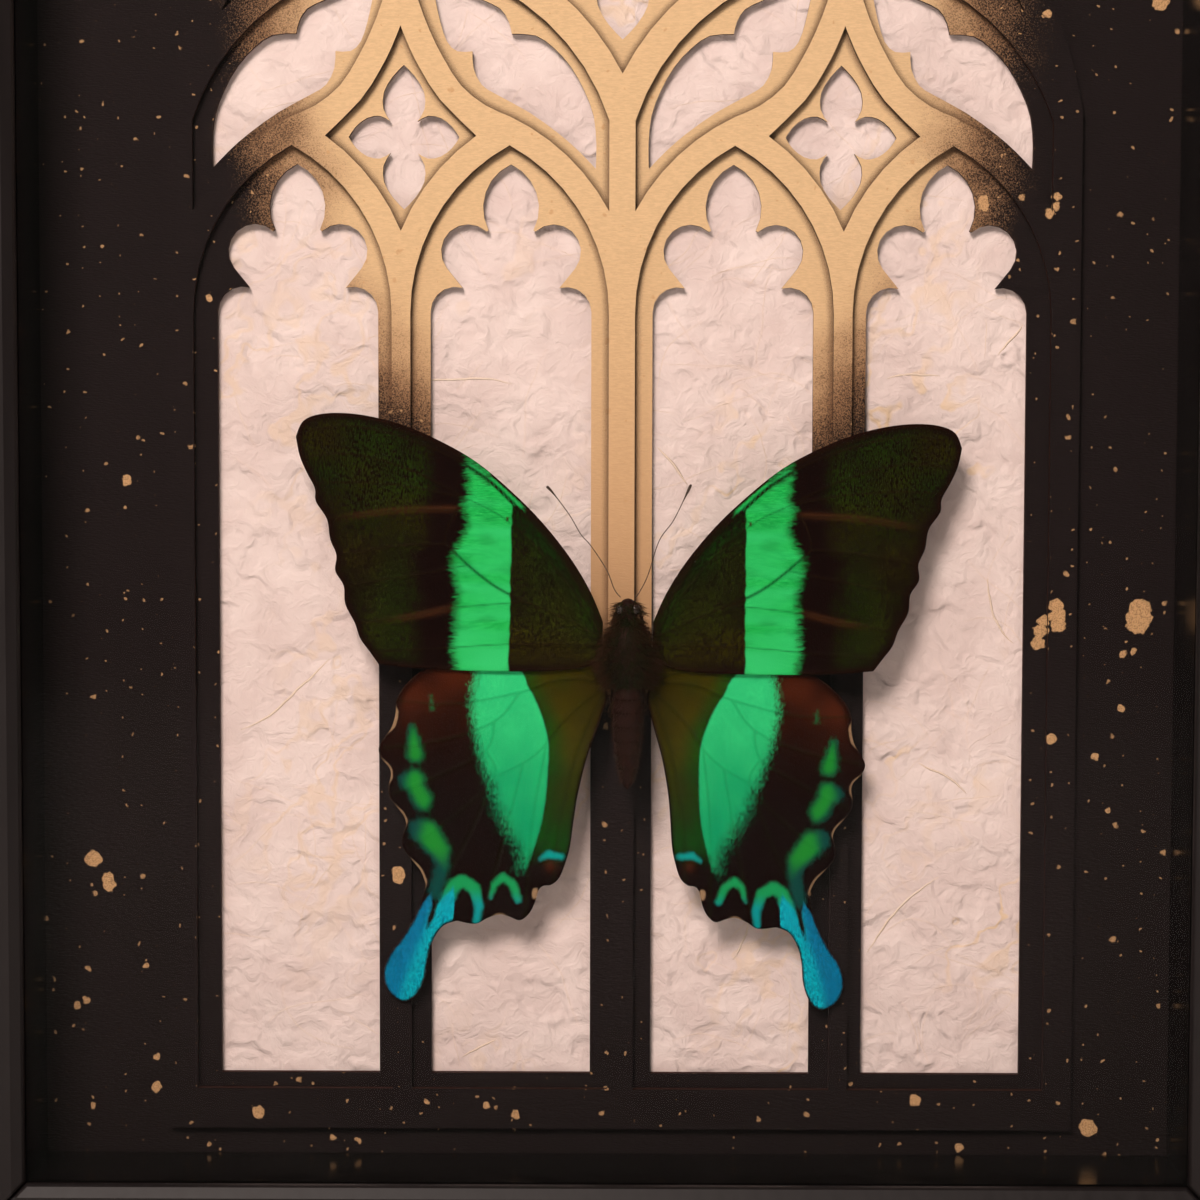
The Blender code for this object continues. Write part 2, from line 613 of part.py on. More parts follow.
def forewing_outline():
    """Right forewing as (outward, up) from its hinge: costa, scalloped margin, rear edge."""
    costa = smooth([(4.6, 2.8), (6.9, 8.1), (10.6, 14.1), (15.9, 20.6), (21.8, 26.3), (28.0, 31.3),
                    (34.5, 34.9), (41.0, 37.6), (47.2, 39.2), (52.5, 39.8), (57.0, 39.5), (60.0, 38.2), (61.3, 35.4)], 2)
    margin = smooth([(61.3, 35.4), (60.6, 32.0), (59.3, 29.0), (57.7, 26.0), (57.5, 23.6), (55.4, 20.4), (54.8, 16.8),
                     (53.6, 13.9), (53.8, 11.0), (52.2, 8.3), (51.9, 5.0), (50.1, 1.6), (49.1, -1.2),
                     (47.4, -3.5), (45.6, -5.9)], 2)
    rear = smooth([(45.6, -5.9), (38.0, -6.5), (24.0, -6.7), (11.0, -6.2), (5.6, -4.6), (4.6, -2.6)], 2)
    return loop(costa, margin, rear)


def hindwing_outline():
    """Right hindwing as (outward, up) from its hinge, with its tail."""
    lead = smooth([(4.7, 2.4), (12.0, 6.0), (24.0, 8.0), (35.0, 7.8), (41.8, 6.2), (44.4, 3.2)], 2)
    outer = smooth([(44.4, 3.2), (43.2, -0.6), (41.3, -3.8), (43.0, -9.4), (44.6, -13.4), (43.7, -16.6), (42.4, -19.9),
                    (41.9, -24.0), (39.6, -28.0), (38.6, -32.0), (35.8, -36.2), (34.7, -38.6)], 2)
    tail = smooth([(34.7, -38.6), (35.8, -41.8), (37.5, -45.5), (40.1, -49.2), (42.3, -52.0), (43.4, -55.6),
                   (42.4, -59.0), (39.6, -60.8), (37.2, -59.3), (35.7, -55.9), (35.1, -51.6), (34.1, -48.4),
                   (32.4, -46.0), (30.0, -45.0)], 2)
    rear = smooth([(30.0, -45.0), (26.6, -45.4), (24.4, -44.2), (22.2, -43.4), (20.4, -43.7), (18.4, -44.3),
                   (16.7, -42.9), (15.7, -40.7), (15.1, -38.5), (14.2, -37.6), (12.9, -37.4), (11.4, -36.0),
                   (10.3, -33.0), (9.6, -30.0), (9.0, -24.5), (8.4, -20.0), (7.0, -13.5), (5.1, -7.5), (3.6, -2.2)], 2)
    return loop(lead, outer, tail, rear)


def wings(look):
    """Two forewings over two hindwings, spread and sloping back from the body."""
    for name, (sign, fore_turn, fore_size, hind_turn, hind_size) in WING_SETS.items():
        sets = (("forewing_", forewing_outline(), FORE_Y, FORE_HINGE_Z, 0.0, fore_turn, fore_size),
                ("hindwing_", hindwing_outline(), HIND_Y, HIND_HINGE_Z, HIND_DROOP, hind_turn, hind_size))
        for kind, outline, front_y, hinge_z, droop, turn, size in sets:
            spread = [(sign * size * (u * math.cos(turn) - v * math.sin(turn)),
                       size * (u * math.sin(turn) + v * math.cos(turn))) for u, v in outline]
            sheet(kind + name, [spread], front_y, WING_T, look, BODY_X, hinge_z, sign * WING_SWEEP, droop)


THORAX_Z = PIN_Z - SILL_Z   # height of the thorax above the sill
LEG_R = 0.42
EYE_R = 1.25
# the body's section as (radius, height above the sill), head first
BODY_PROFILE = [(0.0, 90.2), (1.2, 89.9), (2.0, 89.0), (2.25, 87.8), (2.0, 86.5), (1.7, 85.7), (2.6, 84.9),
                (3.5, 83.2), (3.95, 80.8), (3.9, 78.4), (3.3, 76.2), (2.5, 74.6), (2.3, 73.6), (2.75, 72.0),
                (2.6, 71.6), (2.8, 69.6), (2.62, 69.1), (2.78, 67.0), (2.55, 66.5), (2.62, 64.4), (2.35, 63.9),
                (2.35, 61.8), (2.05, 61.4), (1.9, 59.4), (1.6, 59.0), (1.2, 57.0), (0.7, 55.8), (0.0, 55.2)]


LEGS = [                    # hip, knee, ankle and toe: out from the body's line, behind it, above the sill
    [(1.8, 2.2, 82.6), (2.7, 4.5, 84.6), (2.4, 5.0, 86.6), (1.5, 4.6, 88.6)],
    [(2.2, 2.6, 80.6), (2.9, 4.9, 77.0), (2.7, 5.1, 70.0), (2.1, 4.8, 63.6)],
    [(1.6, 2.4, 77.4), (1.8, 4.9, 74.0), (1.5, 5.2, 66.4), (0.9, 4.9, 58.6)],
]


def body(look):
    """Head, thorax and ringed abdomen, with eyes and folded legs, as one solid."""
    made = turned("body", [(radius, z - THORAX_Z) for radius, z in BODY_PROFILE], 0, 0, look, 20)
    made.rotation_euler = (0, 0, 0)
    made.location = (BODY_X * MM, BODY_Y * MM, PIN_Z * MM)
    for name, sign in (("left", -1), ("right", 1)):
        mesh = bpy.data.meshes.new("eye_" + name)
        shape = bmesh.new()
        bmesh.ops.create_uvsphere(shape, u_segments=10, v_segments=6, radius=EYE_R * MM)
        shape.to_mesh(mesh)
        shape.free()
        eye = link(bpy.data.objects.new("eye_" + name, mesh), cutter=True)
        eye.location = ((BODY_X + sign * 1.75) * MM, (BODY_Y - 0.3) * MM, (SILL_Z + 88.1) * MM)
        combine(made, eye, "UNION")
        for index, route in enumerate(LEGS):
            path = smooth([(BODY_X + sign * x, BODY_Y + y, SILL_Z + z) for x, y, z in route], 2)
            radii = [LEG_R * (1 - i / 12) for i in range(len(path))]
            leg = to_mesh(wire("leg_%s_%d" % (name, index + 1), path, radii, cutter=True, resolution=1))
            leg.hide_render = True
            leg.display_type = "WIRE"
            combine(made, leg, "UNION")
    bore = rod("pin_bore", PIN_FRONT_Y - GAP, BODY_Y + 8, PIN_HOLE_R, BODY_X, PIN_Z, cutter=True, segments=12)
    combine(made, bore)
    return made


ANTENNAE = {                # (across from the body's line, height above the sill), head to club
    "left": [(-1.35, 90.4), (-2.5, 91.9), (-3.9, 95.4), (-6.7, 99.7), (-8.6, 101.9), (-10.6, 105.3), (-13.5, 109.2),
             (-14.8, 110.6)],
    "right": [(1.35, 90.4), (2.2, 91.6), (3.6, 94.5), (5.6, 100.7), (8.1, 104.3), (10.1, 108.3), (11.35, 111.0)],
}
ANTENNA_R = 0.18
CLUB_R = 0.42


def antennae(look):
    """Two clubbed antennae, lifting a little towards the glass."""
    for name, route in ANTENNAE.items():
        points = smooth([(BODY_X + x, BODY_Y - 0.6 - 0.05 * (z - route[0][1]), SILL_Z + z) for x, z in route], 2)
        last = len(points) - 1
        swell = {last: 0.24, last - 1: CLUB_R, last - 2: CLUB_R, last - 3: 0.3}
        wire("antenna_" + name, points, [swell.get(i, ANTENNA_R) for i in range(len(points))], look)


def build():
    """Make every piece."""
    wood = material("black_lacquer", (0.012, 0.011, 0.012), 0.25)
    liner = material("black_liner", (0.010, 0.010, 0.010), 0.12)
    glass = material("clear_glass", (0.95, 0.97, 0.96), 0.02, alpha=0.15)
    card = material("black_and_gold_card", (0.10, 0.06, 0.03), 0.6)
    paper = material("mulberry_paper", (0.83, 0.68, 0.62), 0.9)
    foam = material("foam_board", (0.85, 0.84, 0.80), 0.8)
    board = material("backing_board", (0.16, 0.10, 0.06), 0.8)
    steel = material("plated_steel", (0.60, 0.58, 0.54), 0.35, metallic=1.0)
    insect = material("dark_chitin", (0.03, 0.02, 0.015), 0.6)
    scales = material("wing_scales", (0.04, 0.12, 0.05), 0.5)
    frame_rails = rails(wood)
    spacers(liner)
    window_layers(card)
    flat_stack(paper, foam, board, glass)
    framers_points(frame_rails, steel)
    hanger(frame_rails, steel)
    wings(scales)
    body(insect)
    antennae(insect)
    pin(steel)


build()
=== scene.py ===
"""Looks for a framed butterfly specimen: lacquered shadow box, sprayed card tracery, mulberry paper
and a green-banded swallowtail with blue tails. Lengths are in millimetres until a mesh is made.
"""

import math

import bmesh
import bpy
import numpy as np
from mathutils import Matrix, Vector
from mathutils.geometry import delaunay_2d_cdt


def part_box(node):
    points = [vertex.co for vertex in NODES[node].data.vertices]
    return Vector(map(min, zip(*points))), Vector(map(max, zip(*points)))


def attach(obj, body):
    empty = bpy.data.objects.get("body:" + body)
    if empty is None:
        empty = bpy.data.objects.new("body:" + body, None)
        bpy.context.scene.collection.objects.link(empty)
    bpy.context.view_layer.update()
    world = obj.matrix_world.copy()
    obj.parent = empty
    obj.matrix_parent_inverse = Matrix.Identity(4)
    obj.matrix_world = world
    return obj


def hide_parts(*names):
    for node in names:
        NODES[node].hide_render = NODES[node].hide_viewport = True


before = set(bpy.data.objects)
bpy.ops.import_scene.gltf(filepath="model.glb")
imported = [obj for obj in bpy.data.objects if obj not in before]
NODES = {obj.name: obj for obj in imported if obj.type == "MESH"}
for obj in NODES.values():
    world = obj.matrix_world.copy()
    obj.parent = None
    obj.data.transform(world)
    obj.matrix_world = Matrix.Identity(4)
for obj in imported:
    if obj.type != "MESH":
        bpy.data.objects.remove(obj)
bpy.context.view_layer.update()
MM = 0.001


def corner(node, which, axis):
    """One coordinate of a CAD node's box, in millimetres: which is 0 for low and 1 for high."""
    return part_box(node)[which][axis] / MM


# the layers, front to back, and the window's own origin
MAT_Y = corner("tracery_mat", 0, 1)
MAT_BACK = corner("tracery_mat", 1, 1)
PAPER_BACK = corner("mulberry_paper", 1, 1)
WINDOW_X = (corner("window_plate", 0, 0) + corner("window_plate", 1, 0)) / 2
PLATE_FOOT = -10.2
SILL_Z = corner("window_plate", 0, 2) - PLATE_FOOT

# the butterfly
BODY_X = WINDOW_X + 1.25
FORE_Y = MAT_Y - 12.0
HIND_Y = FORE_Y + 1.1
FORE_HINGE_Z = SILL_Z + 83.0
HIND_HINGE_Z = SILL_Z + 74.0
WING_T = 0.4
WING_SWEEP = math.radians(5.2)
HIND_DROOP = math.radians(4.0)
WING_SETS = {               # side: (sign, fore turn, fore size, hind turn, hind size)
    "left": (-1, math.radians(0.7), 1.006, math.radians(2.0), 1.0125),
    "right": (1, math.radians(-0.7), 0.994, math.radians(-2.0), 0.9875),
}
BODY_Y = MAT_Y - 12.4


# helpers that the materials and the pieces share


def lattice(ix, iy, seed):
    """A fixed random number from 0 to 1 for each lattice point."""
    mixed = (ix * 374761393 + iy * 668265263 + seed * 974711) & 0xFFFFFFFF
    mixed = ((mixed ^ (mixed >> 13)) * 1274126177) & 0xFFFFFFFF
    return ((mixed ^ (mixed >> 16)) & 0xFFFFFF) / float(0xFFFFFF)


def noise(x, y, size, seed):
    """Smooth value noise from -1 to 1 whose lumps are about size across."""
    x, y = np.asarray(x) / size, np.asarray(y) / size
    ix, iy = np.floor(x).astype(np.int64), np.floor(y).astype(np.int64)
    fx, fy = x - ix, y - iy
    fx, fy = fx * fx * (3 - 2 * fx), fy * fy * (3 - 2 * fy)
    low = lattice(ix, iy, seed) * (1 - fx) + lattice(ix + 1, iy, seed) * fx
    high = lattice(ix, iy + 1, seed) * (1 - fx) + lattice(ix + 1, iy + 1, seed) * fx
    return (low * (1 - fy) + high * fy) * 2 - 1


def step(low, high, value):
    """Smooth step of an array, from 0 below low to 1 above high."""
    share = np.clip((np.asarray(value) - low) / (high - low), 0, 1)
    return share * share * (3 - 2 * share)


def smooth(points, steps=3):
    """Points on a Catmull-Rom curve through the given ones, ends included."""
    made = [points[0]]
    for index in range(len(points) - 1):
        before = points[max(index - 1, 0)]
        start, end = points[index], points[index + 1]
        after = points[min(index + 2, len(points) - 1)]
        for count in range(1, steps + 1):
            t = count / steps
            made.append(tuple(
                0.5 * (2 * b + (c - a) * t + (2 * a - 5 * b + 4 * c - d) * t * t
                       + (3 * b - a - 3 * c + d) * t ** 3)
                for a, b, c, d in zip(before, start, end, after)))
    return made


def path_distance(points, path):
    """Distance from each point to a polyline, and the share of its length at the nearest place."""
    path = np.asarray(path, float)
    best = np.full(len(points), 1e9)
    along = np.zeros(len(points))
    lengths = np.linalg.norm(np.diff(path, axis=0), axis=1)
    total, run = lengths.sum(), 0.0
    for (start, end), length in zip(zip(path[:-1], path[1:]), lengths):
        if length < 1e-9:
            continue
        share = np.clip(((points - start) @ (end - start)) / length ** 2, 0, 1)
        gap = np.linalg.norm(points - start - share[:, None] * (end - start), axis=1)
        closer = gap < best
        best[closer] = gap[closer]
        along[closer] = (run + share[closer] * length) / total
        run += length
    return best, along


def inside(points, outline):
    """Even-odd test of each point against a closed outline."""
    outline = np.asarray(outline, float)
    hit = np.zeros(len(points), bool)
    x, y = points[:, 0], points[:, 1]
    for (x0, y0), (x1, y1) in zip(outline, np.roll(outline, -1, axis=0)):
        if y0 != y1:
            hit ^= ((y0 > y) != (y1 > y)) & (x < (x1 - x0) * (y - y0) / (y1 - y0) + x0)
    return hit


def area_distance(points, outline):
    """Distance to a closed outline, positive inside it."""
    closed = list(outline) + [outline[0]]
    gap = path_distance(points, closed)[0]
    return np.where(inside(points, outline), gap, -gap)


def blob_distance(points, blobs):
    """Distance into a chain of (u, v, radius) discs joined by tapering bars, positive inside."""
    best = np.full(len(points), -1e9)
    for (u0, v0, r0), (u1, v1, r1) in zip(blobs[:-1], blobs[1:]):
        start, run = np.array([u0, v0]), np.array([u1 - u0, v1 - v0])
        share = np.clip(((points - start) @ run) / (run @ run), 0, 1)
        gap = np.linalg.norm(points - start - share[:, None] * run, axis=1)
        best = np.maximum(best, r0 + (r1 - r0) * share - gap)
    return best


def new_object(name, mesh, *looks):
    """An object with its materials, linked to the scene and shaded smooth."""
    made = bpy.data.objects.new(name, mesh)
    bpy.context.scene.collection.objects.link(made)
    for look in looks:
        mesh.materials.append(look)
    mesh.shade_smooth()
    return made


def bell(distance, width):
    """1 at no distance, fading out over a width."""
    return np.exp(-(distance / width) ** 2)


def store(mesh, name, values):
    """Keep a number for each point of a mesh, for its material to read."""
    layer = mesh.attributes.new(name, "FLOAT", "POINT")
    layer.data.foreach_set("value", np.asarray(values, np.float32))


def mesh_from(name, points, faces):
    """A mesh from points in millimetres."""
    mesh = bpy.data.meshes.new(name)
    mesh.from_pydata([tuple(v * MM for v in p) for p in points], [], faces)
    mesh.validate()
    return mesh


# materials


class Look:
    """A Principled material with short calls for its nodes."""

    def __init__(self, name, roughness=0.5, **values):
        self.material = bpy.data.materials.new(name)
        self.material.use_nodes = True
        self.tree = self.material.node_tree
        self.shader = self.tree.nodes["Principled BSDF"]
        self.shader.inputs["Roughness"].default_value = roughness
        for key, value in values.items():
            self.shader.inputs[key.replace("_", " ").title().replace("Ior", "IOR")].default_value = value
        self.coords = self.tree.nodes.new("ShaderNodeTexCoord").outputs["Object"]

    def node(self, kind, inputs=(), **settings):
        """Add a node: inputs are (name or index, value or socket) pairs."""
        made = self.tree.nodes.new("ShaderNode" + kind)
        for key, value in settings.items():
            setattr(made, key, value)
        for key, value in dict(inputs).items():
            if isinstance(value, bpy.types.NodeSocket):
                self.tree.links.new(value, made.inputs[key])
            else:
                made.inputs[key].default_value = value
        return made

    def math(self, operation, first, second=0.0):
        """A Math node's result."""
        return self.node("Math", {0: first, 1: second}, operation=operation).outputs[0]

    def plus(self, first, second):
        """A sum."""
        return self.math("ADD", first, second)

    def minus(self, first, second):
        """A difference."""
        return self.math("SUBTRACT", first, second)

    def times(self, first, second):
        """A product."""
        return self.math("MULTIPLY", first, second)

    def flat(self, place):
        """A place's X and Z, as a vector for 2-D textures."""
        parts = self.node("SeparateXYZ", {0: place}).outputs
        return self.node("CombineXYZ", {"X": parts["X"], "Y": parts["Z"]}).outputs[0]

    def scaled(self, x, y, z):
        """Object coordinates stretched along each axis, in cycles a metre."""
        return self.node("Mapping", {"Vector": self.coords, "Scale": (x, y, z)}).outputs[0]

    def noise(self, scale, vector=None, detail=2.0, roughness=0.5):
        """Noise from 0 to 1. With no vector, scale is in cycles a metre."""
        made = self.node("TexNoise", {"Vector": vector or self.coords, "Scale": scale, "Detail": detail,
                                      "Roughness": roughness})
        return made.outputs["Fac"]

    def ramp(self, value, low, high, start=0.0, end=1.0):
        """A smooth step from start at low to end at high."""
        made = self.node("MapRange", {"Value": value, "From Min": low, "From Max": high, "To Min": start,
                                      "To Max": end}, interpolation_type="SMOOTHSTEP")
        return made.outputs["Result"]

    def mix(self, share, first, second):
        """Mix two colours or colour sockets."""
        made = self.node("Mix", data_type="RGBA")
        for index, value in ((0, share), (6, first), (7, second)):
            if isinstance(value, bpy.types.NodeSocket):
                self.tree.links.new(value, made.inputs[index])
            else:
                made.inputs[index].default_value = value if index == 0 else (*value, 1.0)
        return made.outputs[2]

    def attribute(self, name):
        """A value stored on the mesh's points."""
        return self.node("Attribute", attribute_name=name).outputs["Fac"]

    def frayed(self, name, wisps, amount, low, high):
        """A soft step of an attribute that noise has moved to and fro."""
        return self.ramp(self.plus(self.attribute(name), self.times(wisps, amount)), low, high)

    def veined(self, base, width, share, tint):
        """Tint a colour along the veins, out to a width."""
        return self.mix(self.ramp(self.attribute("vein"), *width, share, 0.0), base, tint)

    def colour(self, socket):
        """Use a colour socket as the base colour."""
        self.tree.links.new(socket, self.shader.inputs["Base Color"])

    def rough(self, socket):
        """Use a value socket as the roughness."""
        self.tree.links.new(socket, self.shader.inputs["Roughness"])

    def bump(self, value, depth, strength=1.0):
        """Raise the surface by a 0 to 1 value times a depth in millimetres."""
        made = self.node("Bump", {"Strength": strength, "Distance": depth * MM, "Height": value})
        self.tree.links.new(made.outputs[0], self.shader.inputs["Normal"])


BLACK_CARD = (0.0095, 0.0048, 0.0048)
GOLD_PAINT = (0.760, 0.530, 0.290)
TAN_PAINT = (0.56, 0.32, 0.160)
BROWN_PAINT = (0.26, 0.115, 0.050)
BURNT_EDGE = (0.030, 0.008, 0.004)
# laser smoke together with painted shade, laid on the gold where ambient occlusion finds nooks
SMOKE_AND_SHADE = (0.060, 0.018, 0.008)
SPECK_GOLD = (0.60, 0.36, 0.17)

# larger paint specks as (across, above the sill, radius), in the window's own coordinates
SPECKS = [
    (96.2, 86.0, 2.4), (96.3, 87.3, 2.2), (96.0, 84.9, 2.1), (80.5, 88.2, 1.3), (80.8, 86.4, 1.5),
    (80.9, 84.6, 1.3), (78.4, 85.4, 1.0), (77.9, 83.4, 1.2), (77.4, 81.3, 1.3), (-98.6, 40.2, 1.6),
    (-95.9, 36.4, 1.2), (-95.6, 35.2, 1.1), (-41.4, 38.1, 1.2), (-41.4, 37.2, 1.1), (87.9, -10.1, 1.6),
    (98.6, 199.1, 1.5), (55.2, -4.5, 1.1), (-67.6, -7.3, 1.2), (-87.0, -3.0, 1.0), (-91.7, 111.1, 1.0),
    (66.6, 162.8, 0.9), (66.6, 161.7, 0.8), (79.8, 163.6, 0.7), (79.7, 161.9, 0.8), (78.4, 160.5, 0.9),
    (63.8, -14.0, 0.8), (77.6, 196.9, 0.7), (-76.3, 144.7, 0.7), (93.3, 79.2, 0.8), (95.1, 79.7, 0.6),
    (93.1, 69.1, 0.8), (88.4, 59.9, 0.7), (79.9, 63.5, 1.0), (90.8, 49.9, 0.5), (-99.7, 19.6, 0.6),
    (-99.0, -6.6, 0.6), (-100.2, 13.5, 0.7), (-101.8, 12.5, 0.6), (-86.9, 2.8, 0.6), (-77.2, -13.8, 0.5),
    (-54.0, -12.5, 0.7), (-49.1, -12.9, 0.6), (-36.2, -5.1, 0.5), (-25.0, -5.8, 0.7), (-19.6, -7.6, 0.9),
    (-88.8, 20.1, 0.5),
]
SPRAYED = [(1.0, 184.0, 67.0, 76.0), (0.0, 130.0, 21.0, 58.0)]      # across, up, half width, half height
FLICKS = [(105.0, 2.4, 0.066), (290.0, 3.0, 0.090)]                 # cells a metre, power, largest dot
# how far from a raised edge the painted shade and smoke reach
SMOKE_AND_SHADE_REACH = 1.5


def paint_specks(look):
    """Where flicked paint lies: the placed specks, then two sizes of scattered ones."""
    wander = look.node("TexNoise", {"Vector": look.coords, "Scale": 900.0, "Detail": 1.0})
    shift = look.node("VectorMath", {0: wander.outputs["Color"], 1: (0.5, 0.5, 0.5)}, operation="SUBTRACT")
    shift = look.node("VectorMath", {0: shift.outputs[0], "Scale": 0.0012}, operation="SCALE")
    moved = look.node("VectorMath", {0: look.coords, 1: shift.outputs[0]}, operation="ADD").outputs[0]
    flat = look.flat(moved)
    depth = None
    for u, v, radius in SPECKS:
        spot = ((WINDOW_X + u) * MM, (SILL_Z + v) * MM, 0.0)
        gap = look.node("VectorMath", {0: flat, 1: spot}, operation="DISTANCE").outputs["Value"]
        reach = look.minus(radius * MM, gap)
        depth = reach if depth is None else look.math("MAXIMUM", depth, reach)
    specks = look.ramp(depth, -0.00012, 0.00016)
    for scale, power, reach in FLICKS:
        cells = look.node("TexVoronoi", {"Vector": flat, "Scale": scale}, voronoi_dimensions="2D")
        tone = look.node("SeparateColor", {0: cells.outputs["Color"]}).outputs[0]
        size = look.times(look.math("POWER", tone, power), reach)
        dots = look.ramp(look.minus(size, cells.outputs["Distance"]), -0.012, 0.022)
        specks = look.math("MAXIMUM", specks, look.times(dots, 0.8))
    return specks


def gilded_card():
    """Black card sprayed with gold in the middle, flicked with gold paint, burnt at its cut edges and
    darkened in its nooks by laser smoke and painted shade.
    """
    look = Look("gilded_card", 0.62, Specular_Ior_Level=0.12)
    place = look.node("SeparateXYZ", {0: look.coords})
    across = look.minus(place.outputs["X"], WINDOW_X * MM)
    up = look.minus(place.outputs["Z"], SILL_Z * MM)

    def ellipse(u, v, half_width, half_height):
        """1 in the middle of an ellipse and 0 on its edge."""
        du = look.math("DIVIDE", look.minus(across, u * MM), half_width * MM)
        dv = look.math("DIVIDE", look.minus(up, v * MM), half_height * MM)
        return look.minus(1.0, look.plus(look.times(du, du), look.times(dv, dv)))

    grain = look.noise(4200.0, detail=1.0)
    drift = look.noise(90.0, detail=2.0)
    field = look.math("MAXIMUM", *(ellipse(*patch) for patch in SPRAYED))
    field = look.plus(field, look.times(look.minus(drift, 0.5), 0.35))
    spray = look.plus(field, look.times(look.minus(grain, 0.5), 0.7))
    gold_share = look.ramp(spray, -0.22, 0.30)

    laid = look.noise(1.0, look.scaled(900.0, 300.0, 3600.0), detail=2.0)
    gold = look.mix(look.ramp(laid, 0.35, 0.68), tuple(c * 0.90 for c in GOLD_PAINT), GOLD_PAINT)
    gold = look.mix(look.ramp(up, 0.060, 0.170), TAN_PAINT, gold)
    gold = look.mix(look.ramp(field, 0.0, 0.42, 0.75, 0.0), gold, BROWN_PAINT)
    black = look.mix(look.ramp(laid, 0.3, 0.7), tuple(c * 0.75 for c in BLACK_CARD), BLACK_CARD)
    face = look.mix(gold_share, black, gold)
    fleck = look.ramp(grain, 0.30, 0.60, 0.55, 1.0)
    face = look.mix(look.times(paint_specks(look), fleck), face, SPECK_GOLD)

    normal = look.node("SeparateXYZ", {0: look.node("NewGeometry").outputs["True Normal"]}).outputs["Y"]
    cut = look.ramp(look.math("ABSOLUTE", normal), 0.5, 0.8, 1.0, 0.0)
    # painted shade: the gold darkens where ambient occlusion finds nooks beside raised edges, together with
    # laser smoke
    nook = look.node("AmbientOcclusion", {"Distance": SMOKE_AND_SHADE_REACH * MM}, samples=2).outputs["AO"]
    smoke_and_shade = look.times(look.ramp(nook, 0.50, 0.97, 0.85, 0.0), gold_share)
    face = look.mix(smoke_and_shade, face, SMOKE_AND_SHADE)
    look.colour(look.mix(cut, face, BURNT_EDGE))
    look.rough(look.ramp(gold_share, 0.0, 1.0, 0.72, 0.55))
    look.bump(laid, 0.10, 0.6)
    return look.material


def paper_look():
    """Pinkish-white mulberry paper with crumples, clouds, creamy strands and a painted highlight along the
    short creases.
    """
    look = Look("mulberry_paper", 0.95, Specular_Ior_Level=0.1)
    clouds = look.noise(85.0, detail=3.0, roughness=0.6)
    base = look.mix(look.ramp(clouds, 0.3, 0.7), (0.760, 0.625, 0.585), (0.860, 0.735, 0.690))
    flat = look.flat(look.coords)
    wander = look.node("TexNoise", {"Vector": flat, "Scale": 140.0, "Detail": 2.0})
    shift = look.node("VectorMath", {0: wander.outputs["Color"], "Scale": 0.014}, operation="SCALE")
    bent = look.node("VectorMath", {0: flat, 1: shift.outputs[0]}, operation="ADD").outputs[0]

    def creases(scale, turn, stretch, width):
        """Thin ridges along the middle level of a stretched noise, 1 on a ridge."""
        turned = look.node("Mapping", {"Vector": bent, "Rotation": (0.0, 0.0, turn)}).outputs[0]
        turned = look.node("Mapping", {"Vector": turned, "Scale": (stretch, 1.0, 1.0)}).outputs[0]
        level = look.node("TexNoise", {"Vector": turned, "Scale": scale, "Detail": 1.0}).outputs["Fac"]
        return look.ramp(look.math("ABSOLUTE", look.minus(level, 0.5)), 0.0, width, 1.0, 0.0)

    long_crease = creases(105.0, 0.5, 0.40, 0.24)
    short_crease = creases(200.0, -0.7, 0.45, 0.26)
    fine = look.noise(620.0, bent, detail=3.0, roughness=0.6)
    strands = look.ramp(creases(100.0, 2.2, 0.20, 0.050), 0.0, 1.0)
    base = look.mix(look.times(strands, look.attribute("strand")), base, (0.84, 0.63, 0.42))
    # painted highlight: the short crease ridges are lightened in the colour
    look.colour(look.mix(look.times(short_crease, 0.10), base, (0.93, 0.84, 0.80)))
    relief = look.plus(look.times(long_crease, 0.90), look.times(short_crease, 0.12))
    look.bump(look.plus(relief, look.times(fine, 0.45)), 0.64)
    return look.material


def fibre_look():
    """Pale raised fibres in the paper."""
    look = Look("paper_fibres", 0.85)
    tone = look.noise(120.0, detail=1.0)
    look.colour(look.mix(tone, (0.78, 0.60, 0.45), (0.88, 0.76, 0.64)))
    look.bump(look.noise(4000.0), 0.03)
    return look.material


def lacquer_look():
    """Black lacquer over faint wood grain."""
    look = Look("black_lacquer", 0.4, Specular_Ior_Level=0.2, Coat_Weight=0.15, Coat_Roughness=0.25)
    grain = look.noise(1.0, look.scaled(500.0, 500.0, 60.0), detail=3.0)
    look.colour(look.mix(grain, (0.005, 0.0035, 0.0035), (0.010, 0.0075, 0.0075)))
    look.rough(look.ramp(grain, 0.2, 0.8, 0.38, 0.46))
    look.bump(grain, 0.05, 0.35)
    return look.material


def liner_look():
    """Glossy black strip that mirrors the layers beside it."""
    look = Look("black_liner", 0.16, Specular_Ior_Level=0.2)
    look.colour(look.mix(look.noise(300.0, detail=0.0), (0.002, 0.0015, 0.0015), (0.005, 0.004, 0.004)))
    look.rough(look.ramp(look.noise(90.0, detail=1.0), 0.3, 0.7, 0.13, 0.26))
    look.bump(look.noise(60.0, detail=1.0), 0.10, 0.5)
    return look.material


def glass_look():
    """Clear glass, thin enough to look through without a tint."""
    look = Look("clear_glass", 0.03, Alpha=0.05)
    look.colour(look.mix(look.noise(8.0, detail=0.0), (0.010, 0.014, 0.012), (0.014, 0.018, 0.016)))
    return look.material


def foam_look():
    """White foam board."""
    look = Look("foam_board", 0.85)
    look.colour(look.mix(look.noise(900.0, detail=3.0), (0.74, 0.73, 0.70), (0.86, 0.85, 0.82)))
    look.bump(look.noise(1800.0), 0.05, 0.4)
    return look.material


